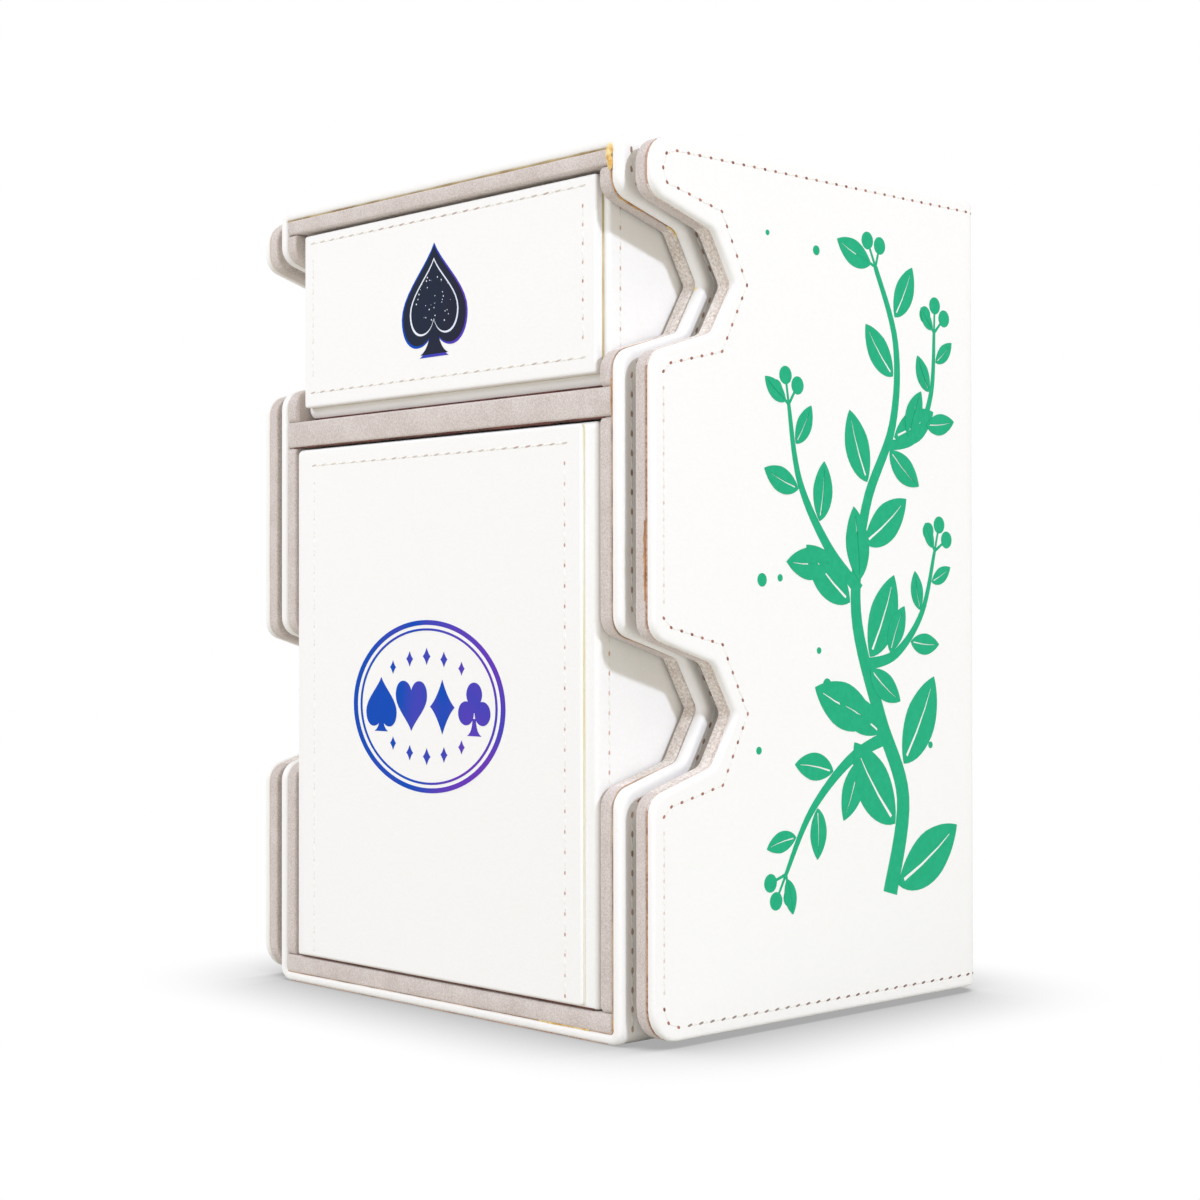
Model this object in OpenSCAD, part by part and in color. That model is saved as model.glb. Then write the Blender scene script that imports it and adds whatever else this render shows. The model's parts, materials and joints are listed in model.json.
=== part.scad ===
// Playing card box: a low drawer over a tall card tray, both sliding out at the front of a leather-wrapped
// case. An outer cover wraps the back and carries a hinged side wing on each side. Finger notches through
// wings and walls let the thumb and finger grip the drawer and the tray by their sides.
// Millimetres, +Z up, the front faces -Y, and the origin lies under the middle of the whole object.

/* [Case] */
// Width over the white side walls
case_w = 102.4; // [90:0.2:130]
// Height of the case
case_h = 160; // [145:1:200]
// Depth of the case from its front rim to its back
case_d = 89.8; // [60:0.2:140]
// Thickness of a leather-wrapped case wall
shell_t = 2.6; // [2:0.1:3.4]
// Thickness of the leather-wrapped base
base_t = 2; // [1.6:0.1:3.4]
// Thickness of the leather in the walls and the base
leather_t = 0.7; // [0.4:0.1:1]
// Thickness of a microfibre-covered liner board
liner_t = 2.9; // [2:0.1:4]
// Thickness of the liner board on the base
bottom_liner_t = 3.5; // [2:0.1:5]
// Radius of the four long outer corners
case_corner_r = 3; // [1.5:0.5:4]
// Clear height of the upper bay
upper_bay_h = 39; // [36:0.5:50]
// Thickness of the shelf between the bays
shelf_t = 5.2; // [3:0.1:7]

/* [Finger notches] */
// Half height of a notch's mouth, before its corners are rounded
notch_mouth = 14; // [10:0.5:15]
// Half height of a notch at its inner corners
notch_waist = 9.2; // [6:0.2:9.6]
// Depth of a notch at its inner corners
notch_waist_depth = 15.6; // [8:0.2:17]
// Depth of a notch at its point, before that is rounded
notch_depth = 21; // [19:0.5:28]
// Radius of a notch's two outer corners
notch_mouth_r = 4; // [1:0.5:6]
// Radius inside a notch
notch_inner_r = 3; // [1:0.5:6]
// Height of a notch's centre above the middle of its bay
notch_rise = 0.4; // [-1:0.1:1]

/* [Outer cover] */
// Gap between a side wall and its wing
wing_gap = 2.4; // [1:0.1:6]
// Thickness of the microfibre-lined board of the cover
cover_board_t = 2.6; // [1.5:0.1:4]
// Thickness of the leather skin of the cover
cover_skin_t = 2; // [1:0.1:2.8]
// Distance from the case's front rim back to a wing's front edge
wing_setback = 1; // [0:0.1:5]
// Distance from the case's top and base to the cover's edges
cover_end_gap = 1.2; // [0.5:0.1:4]
// Radius of a wing's free corners
wing_corner_r = 6; // [1:0.5:8]
// Outer radius of the leather that turns the back corners
hinge_r = 5; // [4:0.5:6.5]
// Distance that the wings' notches sit below the walls' notches
wing_notch_drop = 0.7; // [0:0.1:1.5]

/* [Drawer and tray] */
// Thickness of their leather-wrapped walls
unit_wall_t = 2.4; // [2:0.1:4]
// Thickness of their leather-wrapped floors
unit_floor_t = 2.4; // [1.5:0.1:4]
// Thickness of their microfibre linings
lining_t = 1; // [0.5:0.1:2]
// Gap between their backs and the back liner
unit_back_gap = 0.4; // [0.3:0.1:2]

/* [Drawer] */
// Gap on each side of the drawer
drawer_side_gap = 0.6; // [0.3:0.1:2]
// Gap under the drawer
drawer_floor_gap = 0.6; // [0.3:0.1:2]
// Gap over the drawer
drawer_top_gap = 0.3; // [0.3:0.1:2]
// Distance from the case's front rim back to the drawer's front wall
drawer_recess = 2.9; // [0:0.1:6]
// Thickness of the stitched leather panel on the drawer's front, which is padded
drawer_panel_t = 1.9; // [0.5:0.1:2.6]
// Width of the rim beside the drawer's panel
drawer_panel_side = 1.2; // [0.5:0.1:4]
// Width of the rim under the drawer's panel
drawer_panel_foot = 2.2; // [0.3:0.1:3]

/* [Tray] */
// Gap on each side of the tray
tray_side_gap = 0.6; // [0.3:0.1:2]
// Gap under the tray
tray_floor_gap = 0.3; // [0.3:0.1:2]
// Gap over the tray
tray_top_gap = 0.6; // [0.3:0.1:2]
// Distance from the case's front rim back to the tray's front wall
tray_recess = 0; // [0:0.1:6]
// Thickness of the stitched leather panel on the tray's front
tray_panel_t = 0.8; // [0.5:0.1:1.5]
// Width of the rim beside the tray's panel
tray_panel_side = 3.2; // [0.5:0.1:4.5]
// Width of the rim under the tray's panel
tray_panel_foot = 0.5; // [0.3:0.1:3]
// Width of the rim over both panels
panel_head = 0.4; // [0.3:0.1:2]

/* [Magnets] */
// Diameter of a magnet disc
magnet_d = 12; // [6:0.5:18]
// Thickness of a magnet disc
magnet_t = 1.5; // [0.8:0.1:1.6]
// Clearance all round a disc in its pocket
magnet_gap = 0.1; // [0.05:0.05:0.3]

/* [Hidden] */

WHITE = "#f6f6f2";
GREY = "#b9afa9";
BOARD = "#9c8f7c";
STEEL = "#b8bcc0";
LEFT = -1;
RIGHT = 1;
ARC_STEPS = 6;      // chords in one rounded corner of an outline
PAST = 1;           // how far a cutting shape runs past the face it cuts

// Depth places: the stitched panels stand proud of the case's front rim, unless they are set back
cover_t = cover_board_t + cover_skin_t;
proud = max(0, tray_panel_t - tray_recess, drawer_panel_t - drawer_recess);
front_y = (proud - case_d - cover_t) / 2;
back_y = front_y + case_d;
bay_back_y = back_y - shell_t - liner_t;

// Width places, as distances from the middle
case_x = case_w / 2;
shell_in_x = case_x - shell_t;
bay_x = shell_in_x - liner_t;
wing_in_x = case_x + wing_gap;
wing_skin_x = wing_in_x + cover_board_t;
wing_out_x = wing_in_x + cover_t;

// Height places
lower_bay_z = base_t + bottom_liner_t;
upper_bay_top = case_h - shell_t - liner_t;
upper_bay_z = upper_bay_top - upper_bay_h;
lower_bay_top = upper_bay_z - shelf_t;
lower_notch_z = (lower_bay_z + lower_bay_top) / 2 + notch_rise;
upper_notch_z = (upper_bay_z + upper_bay_top) / 2 + notch_rise;

// Outer cover places: the leather turns the back corners round a centre inside each corner
wing_front_y = front_y + wing_setback;
wing_low_z = cover_end_gap;
wing_high_z = case_h - cover_end_gap;
cover_skin_y = back_y + cover_board_t;
cover_out_y = back_y + cover_t;
hinge_x = wing_out_x - hinge_r;
hinge_y = cover_out_y - hinge_r;

// A sliding unit is [half width, front wall y, back wall y, lowest z, highest z, panel rim, panel foot,
// panel thickness]
DRAWER = [
    bay_x - drawer_side_gap, front_y + drawer_recess, bay_back_y - unit_back_gap,
    upper_bay_z + drawer_floor_gap, upper_bay_top - drawer_top_gap,
    drawer_panel_side, drawer_panel_foot, drawer_panel_t];
TRAY = [
    bay_x - tray_side_gap, front_y + tray_recess, bay_back_y - unit_back_gap,
    lower_bay_z + tray_floor_gap, lower_bay_top - tray_top_gap,
    tray_panel_side, tray_panel_foot, tray_panel_t];

function side_x(u) = u[0];
function unit_front_y(u) = u[1];
function unit_back_y(u) = u[2];
function unit_low_z(u) = u[3];
function unit_top_z(u) = u[4];
function panel_rim(u) = u[5];
function panel_foot(u) = u[6];
function panel_t(u) = u[7];

// Faces inside a unit's walls and on its floor, and the middle of its height, where its magnet sits
function inner_x(u) = side_x(u) - unit_wall_t;
function inner_front_y(u) = unit_front_y(u) + unit_wall_t;
function inner_back_y(u) = unit_back_y(u) - unit_wall_t;
function floor_top_z(u) = unit_low_z(u) + unit_floor_t;
function lining_low_z(u) = floor_top_z(u) + lining_t;
function lining_top_z(u) = unit_top_z(u) - lining_t;
function middle_z(u) = (unit_low_z(u) + unit_top_z(u)) / 2;

// ---- Outlines: a corner is [across, up, radius], and an outline runs anticlockwise ----

function xy(c) = [c[0], c[1]];
function unit(v) = v / norm(v);
function left_of(v) = [-v[1], v[0]];
function cross2(a, b) = a[0] * b[1] - a[1] * b[0];
function before(c, i) = c[(i + len(c) - 1) % len(c)];
function after(c, i) = c[(i + 1) % len(c)];

// The arc that rounds the corner q between its neighbours p and s, no wider than their edges allow
function corner_arc(p, q, s, r) =
    let (
        u = unit(p - q),
        v = unit(s - q),
        half = acos(u * v) / 2,
        reach = min(r / tan(half), norm(p - q) * 0.49, norm(s - q) * 0.49),
        arc_r = reach * tan(half),
        middle = q + unit(u + v) * arc_r / sin(half),
        from = q + u * reach - middle,
        to = q + v * reach - middle,
        sweep = 180 - 2 * half
    )
    [for (i = [0:ARC_STEPS])
        let (k = i / ARC_STEPS * sweep)
        middle + (from * sin(sweep - k) + to * sin(k)) / sin(sweep)];

function rounded(corners) = [
    for (i = [0:len(corners) - 1])
        let (q = corners[i])
        each q[2] > 0
            ? corner_arc(xy(before(corners, i)), xy(q), xy(after(corners, i)), q[2])
            : [xy(q)]];

// The same corners moved inwards by d, with bulging corners tighter and hollow ones wider
function inset(corners, d) = [
    for (i = [0:len(corners) - 1])
        let (
            q = corners[i],
            a = unit(xy(q) - xy(before(corners, i))),
            b = unit(xy(after(corners, i)) - xy(q)),
            move = (left_of(a) + left_of(b)) * d / (1 + left_of(a) * left_of(b)),
            r = cross2(a, b) > 0 ? max(q[2] - d, 0) : q[2] + d
        )
        [q[0] + move[0], q[1] + move[1], q[2] > 0 ? r : 0]];

function notch(front, centre_z) = [
    [front, centre_z + notch_mouth, notch_mouth_r],
    [front + notch_waist_depth, centre_z + notch_waist, notch_inner_r],
    [front + notch_depth, centre_z, notch_inner_r],
    [front + notch_waist_depth, centre_z - notch_waist, notch_inner_r],
    [front, centre_z - notch_mouth, notch_mouth_r]];

// Side view of a wall or wing, with two notches in its front edge and r on its front corners
function notched_side(front, back, low, high, r, drop) = concat(
    [[front, low, r], [back, low, 0], [back, high, 0], [front, high, r]],
    notch(front, upper_notch_z - drop),
    notch(front, lower_notch_z - drop));

// The case's side view runs past its top, base and back, so that only the front and the notches cut
CASE_SIDE = notched_side(front_y, back_y + PAST, -PAST, case_h + PAST, 0, 0);
WING_SIDE = notched_side(wing_front_y, hinge_y, wing_low_z, wing_high_z, wing_corner_r, wing_notch_drop);
CASE_END = [
    [-case_x, 0, case_corner_r], [case_x, 0, case_corner_r],
    [case_x, case_h, case_corner_r], [-case_x, case_h, case_corner_r]];

// ---- Shared solids ----

// A box between two corners
module block(low, high) {
    translate(low) cube(high - low);
}

// A side-view outline given thickness between two places across the width
module side_slab(corners, x0, x1) {
    translate([min(x0, x1), 0, 0])
        rotate([90, 0, 90])
            linear_extrude(abs(x1 - x0))
                polygon(rounded(corners));
}

// The case's rounded front-view outline run from y0 back to y1
module case_prism(d, y0, y1) {
    translate([0, y1, 0])
        rotate([90, 0, 0])
            linear_extrude(y1 - y0)
                polygon(rounded(inset(CASE_END, d)));
}

// Everything inside the leather of the case, as far back as end_y
module board_space(end_y) {
    intersection() {
        case_prism(leather_t, front_y + leather_t, end_y);
        side_slab(inset(CASE_SIDE, leather_t), -case_x, case_x);
    }
}

// The leather all round the case, from its outer face to the turned-in front and notch edges
module leather_shell(low_z, high_z) {
    difference() {
        intersection() {
            case_prism(0, front_y, back_y);
            side_slab(CASE_SIDE, -case_x, case_x);
            block([-case_x, front_y, low_z], [case_x, back_y, high_z]);
        }
        block([-shell_in_x, front_y - PAST, base_t], [shell_in_x, back_y + PAST, case_h - shell_t]);
        board_space(back_y + PAST);
    }
}

// ---- Case ----

module case_wrap() {
    color(WHITE) leather_shell(case_corner_r, case_h);
}

module base_wrap() {
    color(WHITE) leather_shell(0, case_corner_r);
}

module side_board(side) {
    color(BOARD)
        intersection() {
            board_space(back_y);
            side_slab(CASE_SIDE, side * shell_in_x, side * case_x);
        }
}

module left_board() {
    side_board(LEFT);
}

module right_board() {
    side_board(RIGHT);
}

module level_board(low_z, high_z) {
    color(BOARD)
        intersection() {
            board_space(back_y);
            block([-shell_in_x, front_y, low_z], [shell_in_x, back_y, high_z]);
        }
}

module top_board() {
    level_board(case_h - shell_t, case_h);
}

module bottom_board() {
    level_board(0, base_t);
}

// A pocket for one magnet disc, open towards -Y at the face y
module magnet_pocket(y, z) {
    translate([0, y - PAST, z])
        rotate([-90, 0, 0])
            cylinder(h = magnet_t + magnet_gap + PAST, d = magnet_d + 2 * magnet_gap, $fn = 48);
}

module magnet_disc(y, z) {
    color(STEEL)
        translate([0, y, z])
            rotate([-90, 0, 0])
                cylinder(h = magnet_t, d = magnet_d, $fn = 48);
}

module back_board() {
    color(BOARD)
        difference() {
            block([-shell_in_x, back_y - shell_t, base_t], [shell_in_x, back_y, case_h - shell_t]);
            magnet_pocket(back_y - shell_t, middle_z(DRAWER));
            magnet_pocket(back_y - shell_t, middle_z(TRAY));
        }
}

module back_magnets() {
    magnet_disc(back_y - shell_t, middle_z(DRAWER));
    magnet_disc(back_y - shell_t, middle_z(TRAY));
}

module level_liner(low_z, high_z) {
    color(GREY) block([-shell_in_x, front_y, low_z], [shell_in_x, back_y - shell_t, high_z]);
}

module top_liner() {
    level_liner(upper_bay_top, case_h - shell_t);
}

module bottom_liner() {
    level_liner(base_t, lower_bay_z);
}

module back_liner(low_z, high_z) {
    color(GREY) block([-bay_x, bay_back_y, low_z], [bay_x, back_y - shell_t, high_z]);
}

module upper_back_liner() {
    back_liner(upper_bay_z, upper_bay_top);
}

module lower_back_liner() {
    back_liner(lower_bay_z, lower_bay_top);
}

module side_liner(side, low_z, high_z) {
    color(GREY)
        intersection() {
            side_slab(CASE_SIDE, side * bay_x, side * shell_in_x);
            block([-shell_in_x, front_y, low_z], [shell_in_x, back_y - shell_t, high_z]);
        }
}

module upper_left_liner() {
    side_liner(LEFT, upper_bay_z, upper_bay_top);
}

module upper_right_liner() {
    side_liner(RIGHT, upper_bay_z, upper_bay_top);
}

module lower_left_liner() {
    side_liner(LEFT, lower_bay_z, lower_bay_top);
}

module lower_right_liner() {
    side_liner(RIGHT, lower_bay_z, lower_bay_top);
}

// The shelf reaches the back board and both side walls, between the upper and the lower liners
module divider_shelf() {
    color(GREY) block([-shell_in_x, front_y, lower_bay_top], [shell_in_x, back_y - shell_t, upper_bay_z]);
}

// ---- Outer cover ----

module cover_back_board() {
    color(GREY) block([-case_x, back_y, wing_low_z], [case_x, cover_skin_y, wing_high_z]);
}

module cover_back_skin() {
    color(WHITE) block([-hinge_x, cover_skin_y, wing_low_z], [hinge_x, cover_out_y, wing_high_z]);
}

// A quarter turn of leather from the back skin round to a wing's skin
module hinge_leather(side) {
    color(WHITE)
        translate([side * hinge_x, hinge_y, wing_low_z])
            rotate([0, 0, side == RIGHT ? 0 : 90])
                rotate_extrude(angle = 90, $fn = 64)
                    translate([hinge_r - cover_skin_t, 0])
                        square([cover_skin_t, wing_high_z - wing_low_z]);
}

module left_hinge_leather() {
    hinge_leather(LEFT);
}

module right_hinge_leather() {
    hinge_leather(RIGHT);
}

module wing_board(side) {
    color(GREY) side_slab(WING_SIDE, side * wing_in_x, side * wing_skin_x);
}

module left_wing_board() {
    wing_board(LEFT);
}

module right_wing_board() {
    wing_board(RIGHT);
}

module wing_skin(side) {
    color(WHITE) side_slab(WING_SIDE, side * wing_skin_x, side * wing_out_x);
}

module left_wing_skin() {
    wing_skin(LEFT);
}

module right_wing_skin() {
    wing_skin(RIGHT);
}

// ---- Parts of a sliding unit u ----

// The stitched leather panel on the front wall
module unit_front_panel(u) {
    half_w = side_x(u) - panel_rim(u);
    color(WHITE)
        block(
            [-half_w, unit_front_y(u) - panel_t(u), unit_low_z(u) + panel_foot(u)],
            [half_w, unit_front_y(u), unit_top_z(u) - panel_head]);
}

module unit_floor(u) {
    color(WHITE)
        block([-side_x(u), unit_front_y(u), unit_low_z(u)], [side_x(u), unit_back_y(u), floor_top_z(u)]);
}

module unit_side_wall(u, side) {
    faces = [side * inner_x(u), side * side_x(u)];
    color(WHITE)
        block(
            [min(faces), unit_front_y(u), floor_top_z(u)],
            [max(faces), unit_back_y(u), unit_top_z(u)]);
}

// The wall across the front or the back, between the side walls
module unit_end_wall(u, low_y) {
    block([-inner_x(u), low_y, floor_top_z(u)], [inner_x(u), low_y + unit_wall_t, unit_top_z(u)]);
}

module unit_front_wall(u) {
    color(WHITE) unit_end_wall(u, unit_front_y(u));
}

// The back wall has the pocket of a magnet disc in its inner face
module unit_back_wall(u) {
    color(WHITE)
        difference() {
            unit_end_wall(u, inner_back_y(u));
            magnet_pocket(inner_back_y(u), middle_z(u));
        }
}

module unit_magnet(u) {
    magnet_disc(inner_back_y(u), middle_z(u));
}

module unit_floor_lining(u) {
    color(GREY)
        block(
            [-inner_x(u), inner_front_y(u), floor_top_z(u)],
            [inner_x(u), inner_back_y(u), lining_low_z(u)]);
}

module unit_side_lining(u, side) {
    faces = [side * inner_x(u), side * (inner_x(u) - lining_t)];
    color(GREY)
        block(
            [min(faces), inner_front_y(u), lining_low_z(u)],
            [max(faces), inner_back_y(u), lining_top_z(u)]);
}

// The lining across the front or the back, between the side linings
module unit_end_lining(u, low_y) {
    half_w = inner_x(u) - lining_t;
    color(GREY)
        block([-half_w, low_y, lining_low_z(u)], [half_w, low_y + lining_t, lining_top_z(u)]);
}

// ---- Drawer ----

module drawer_front_panel() {
    unit_front_panel(DRAWER);
}

module drawer_front_wall() {
    unit_front_wall(DRAWER);
}

module drawer_left_wall() {
    unit_side_wall(DRAWER, LEFT);
}

module drawer_right_wall() {
    unit_side_wall(DRAWER, RIGHT);
}

module drawer_back_wall() {
    unit_back_wall(DRAWER);
}

module drawer_floor() {
    unit_floor(DRAWER);
}

module drawer_front_lining() {
    unit_end_lining(DRAWER, inner_front_y(DRAWER));
}

module drawer_left_lining() {
    unit_side_lining(DRAWER, LEFT);
}

module drawer_right_lining() {
    unit_side_lining(DRAWER, RIGHT);
}

module drawer_back_lining() {
    unit_end_lining(DRAWER, inner_back_y(DRAWER) - lining_t);
}

module drawer_floor_lining() {
    unit_floor_lining(DRAWER);
}

module drawer_magnet() {
    unit_magnet(DRAWER);
}

// ---- Tray ----

module tray_front_panel() {
    unit_front_panel(TRAY);
}

module tray_front_wall() {
    unit_front_wall(TRAY);
}

module tray_left_wall() {
    unit_side_wall(TRAY, LEFT);
}

module tray_right_wall() {
    unit_side_wall(TRAY, RIGHT);
}

module tray_back_wall() {
    unit_back_wall(TRAY);
}

module tray_floor() {
    unit_floor(TRAY);
}

module tray_front_lining() {
    unit_end_lining(TRAY, inner_front_y(TRAY));
}

module tray_left_lining() {
    unit_side_lining(TRAY, LEFT);
}

module tray_right_lining() {
    unit_side_lining(TRAY, RIGHT);
}

module tray_back_lining() {
    unit_end_lining(TRAY, inner_back_y(TRAY) - lining_t);
}

module tray_floor_lining() {
    unit_floor_lining(TRAY);
}

module tray_magnet() {
    unit_magnet(TRAY);
}

case_wrap();
base_wrap();
left_board();
right_board();
top_board();
bottom_board();
back_board();
top_liner();
bottom_liner();
upper_back_liner();
upper_left_liner();
upper_right_liner();
lower_back_liner();
lower_left_liner();
lower_right_liner();
divider_shelf();
back_magnets();
cover_back_board();
cover_back_skin();
left_hinge_leather();
right_hinge_leather();
left_wing_board();
right_wing_board();
left_wing_skin();
right_wing_skin();
drawer_front_panel();
drawer_front_wall();
drawer_left_wall();
drawer_right_wall();
drawer_back_wall();
drawer_floor();
drawer_front_lining();
drawer_left_lining();
drawer_right_lining();
drawer_back_lining();
drawer_floor_lining();
drawer_magnet();
tray_front_panel();
tray_front_wall();
tray_left_wall();
tray_right_wall();
tray_back_wall();
tray_floor();
tray_front_lining();
tray_left_lining();
tray_right_lining();
tray_back_lining();
tray_floor_lining();
tray_magnet();
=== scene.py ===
import json
import logging
import math
import random
from contextlib import contextmanager
from dataclasses import dataclass, replace
from enum import Enum
from typing import Callable, Iterable, Iterator, Sequence

import bmesh
import bpy
from mathutils import Matrix, Vector

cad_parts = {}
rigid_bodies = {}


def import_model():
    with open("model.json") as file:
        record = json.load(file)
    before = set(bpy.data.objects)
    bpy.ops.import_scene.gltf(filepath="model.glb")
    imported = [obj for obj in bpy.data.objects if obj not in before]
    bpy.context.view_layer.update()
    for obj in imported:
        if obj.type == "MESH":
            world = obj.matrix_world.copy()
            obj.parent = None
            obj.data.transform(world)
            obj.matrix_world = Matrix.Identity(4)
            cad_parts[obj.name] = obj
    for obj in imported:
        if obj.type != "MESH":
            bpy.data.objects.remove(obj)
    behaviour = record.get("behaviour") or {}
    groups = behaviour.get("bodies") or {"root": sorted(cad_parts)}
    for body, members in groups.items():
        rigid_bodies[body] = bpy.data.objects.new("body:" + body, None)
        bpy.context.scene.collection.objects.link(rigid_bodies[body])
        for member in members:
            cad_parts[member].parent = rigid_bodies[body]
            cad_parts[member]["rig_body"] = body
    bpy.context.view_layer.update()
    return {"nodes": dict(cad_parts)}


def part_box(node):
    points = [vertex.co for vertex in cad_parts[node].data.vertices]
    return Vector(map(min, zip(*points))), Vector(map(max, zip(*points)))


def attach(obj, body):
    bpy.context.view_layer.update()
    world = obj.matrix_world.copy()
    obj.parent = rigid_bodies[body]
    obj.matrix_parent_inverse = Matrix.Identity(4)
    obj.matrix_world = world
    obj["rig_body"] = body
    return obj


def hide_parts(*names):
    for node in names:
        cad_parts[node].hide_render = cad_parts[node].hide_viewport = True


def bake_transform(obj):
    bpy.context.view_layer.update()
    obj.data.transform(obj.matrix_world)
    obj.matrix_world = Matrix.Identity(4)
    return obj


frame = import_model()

MM = 0.001              # metres in a millimetre: sizes below are in millimetres
ARC_STEPS = 6           # chords in a rounded corner of an outline
RIM_STEPS = 4           # chords in the rounding of a sheet's edge
SHARP_ANGLE = 42.0      # degrees, past which an edge is left crisp
SEWN_DEPTH = 0.015      # how deep the middles of a row's threads and holes lie
TOUCH = 1e-6            # below which two places or two directions are the same
FACE_FLAT = 0.35        # flat beside a face's rounding, which keeps its shading even
BACK_FLAT = 0.4         # the same on the back
GROOVE = ((0.0, 0.0), (0.12, 0.05), (0.0, 0.2))     # over a raw band: (depth, height above the band)
log = logging.getLogger("card_box")

Tree = bpy.types.NodeTree
Socket = bpy.types.NodeSocket
Piece = bpy.types.Object
Point2 = tuple[float, float]
Point3 = tuple[float, float, float]
Place = Callable[[float, float, float], Point3]
Face = Sequence[int]
Run = tuple[Sequence[Point3], Point3]       # a row's points, and the way that its surface faces
Layer = tuple[list[list[Point2]], "Finish"]


class Side(Enum):
    """Which side of the box a piece is on, as the sign of its X."""

    LEFT = -1
    RIGHT = 1

    @property
    def word(self) -> str:
        """The side's name in node names."""
        return self.name.lower()


# ---- Small helpers ----


def linear(hex_colour: str) -> tuple[float, float, float, float]:
    """Turns an sRGB hex colour, six hex digits after a hash, into linear RGBA with full alpha."""
    levels = [int(hex_colour[i:i + 2], 16) / 255 for i in (1, 3, 5)]
    return (*[v / 12.92 if v <= 0.04045 else ((v + 0.055) / 1.055) ** 2.4 for v in levels], 1.0)


def pattern_scale(size_mm: float) -> float:
    """The Scale of a texture whose features are to be size_mm wide."""
    return 1 / (size_mm * MM)


def set_inputs(tree: Tree, node: bpy.types.Node, inputs: dict[str | int, object]) -> None:
    """Gives a node its inputs' values and links.

    Args:
        tree: The shader or geometry tree.
        node: The node.
        inputs: Values or output sockets by input name or number.
    """
    for key, value in inputs.items():
        if isinstance(value, Socket):
            tree.links.new(value, node.inputs[key])
        else:
            node.inputs[key].default_value = value


def add_node(
    tree: Tree, kind: str, inputs: dict[str | int, object] | None = None, **settings: object
) -> bpy.types.Node:
    """Adds a node with its settings, values and links.

    Args:
        tree: The shader or geometry tree.
        kind: The node's type name.
        inputs: Values or output sockets by input name or number.
        **settings: Properties of the node itself.

    Returns:
        The new node.
    """
    node = tree.nodes.new(kind)
    for name, value in settings.items():
        setattr(node, name, value)
    set_inputs(tree, node, inputs or {})
    return node


def body_of(node: str) -> str:
    """The CAD body that a node rides on."""
    return frame["nodes"][node]["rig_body"]


def box_mm(node: str) -> tuple[Vector, Vector]:
    """A CAD node's lowest and highest corners in millimetres."""
    low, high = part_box(node)
    return low / MM, high / MM


def link_object(name: str, data: bpy.types.ID) -> Piece:
    """Puts a new object into the scene, at the origin."""
    made = bpy.data.objects.new(name, data)
    bpy.context.scene.collection.objects.link(made)
    return made


@contextmanager
def edited(mesh: bpy.types.Mesh) -> Iterator[bmesh.types.BMesh]:
    """Opens a mesh for editing, and writes it back at the end."""
    work = bmesh.new()
    work.from_mesh(mesh)
    yield work
    work.to_mesh(mesh)
    work.free()


def new_piece(name: str, work: bmesh.types.BMesh, finish: "Finish") -> Piece:
    """Makes a piece of one finish from an edited mesh, which is then freed."""
    mesh = bpy.data.meshes.new(name)
    work.to_mesh(mesh)
    work.free()
    mesh.materials.append(finish.material())
    return link_object(name, mesh)


# ---- Finishes ----


@dataclass(frozen=True)
class Finish:
    """A surface finish, which makes one procedural material."""

    name: str

    def look(self, tree: Tree) -> dict[str, object]:
        """Adds the finish's nodes, and returns the shader's inputs by name."""
        raise NotImplementedError

    def material(self) -> bpy.types.Material:
        """The finish's material, made the first time that it is asked for."""
        made = bpy.data.materials.get(self.name)
        if made is None:
            made = bpy.data.materials.new(self.name)
            made.use_nodes = True
            tree = made.node_tree
            set_inputs(tree, tree.nodes["Principled BSDF"], self.look(tree))
        return made


def speckle(tree: Tree, size_mm: float, detail: float = 3.0) -> Socket:
    """A noise on Object coordinates with features of a real size.

    Args:
        tree: The material's tree.
        size_mm: The width of a feature.
        detail: How many finer octaves it has.

    Returns:
        The noise's value, near 0.5 on average.
    """
    place = add_node(tree, "ShaderNodeTexCoord").outputs["Object"]
    noise = add_node(
        tree, "ShaderNodeTexNoise", {"Vector": place, "Scale": pattern_scale(size_mm), "Detail": detail}
    )
    return noise.outputs["Fac"]


def two_tone(tree: Tree, share: Socket, low: float, high: float, first: str, second: str) -> Socket:
    """A colour that runs from first to second as share goes from low to high.

    Args:
        tree: The material's tree.
        share: The value that drives the change.
        low: The share where the first colour ends.
        high: The share where the second colour begins.
        first: An sRGB hex colour.
        second: An sRGB hex colour.

    Returns:
        The colour output.
    """
    ramp = add_node(tree, "ShaderNodeValToRGB", {"Fac": share})
    for stop, position, colour in zip(ramp.color_ramp.elements, (low, high), (first, second)):
        stop.position = position
        stop.color = linear(colour)
    return ramp.outputs["Color"]


def relief(tree: Tree, height: Socket, depth_mm: float, under: Socket | None = None) -> Socket:
    """A bump of a real depth, over another one if that is given.

    Args:
        tree: The material's tree.
        height: The height pattern from 0 to 1.
        depth_mm: The depth that a height of 1 stands for.
        under: The normal of the bump below this one.

    Returns:
        The bent normal.
    """
    inputs = {"Height": height, "Distance": depth_mm * MM, "Strength": 1.0}
    if under is not None:
        inputs["Normal"] = under
    return add_node(tree, "ShaderNodeBump", inputs).outputs["Normal"]


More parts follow.
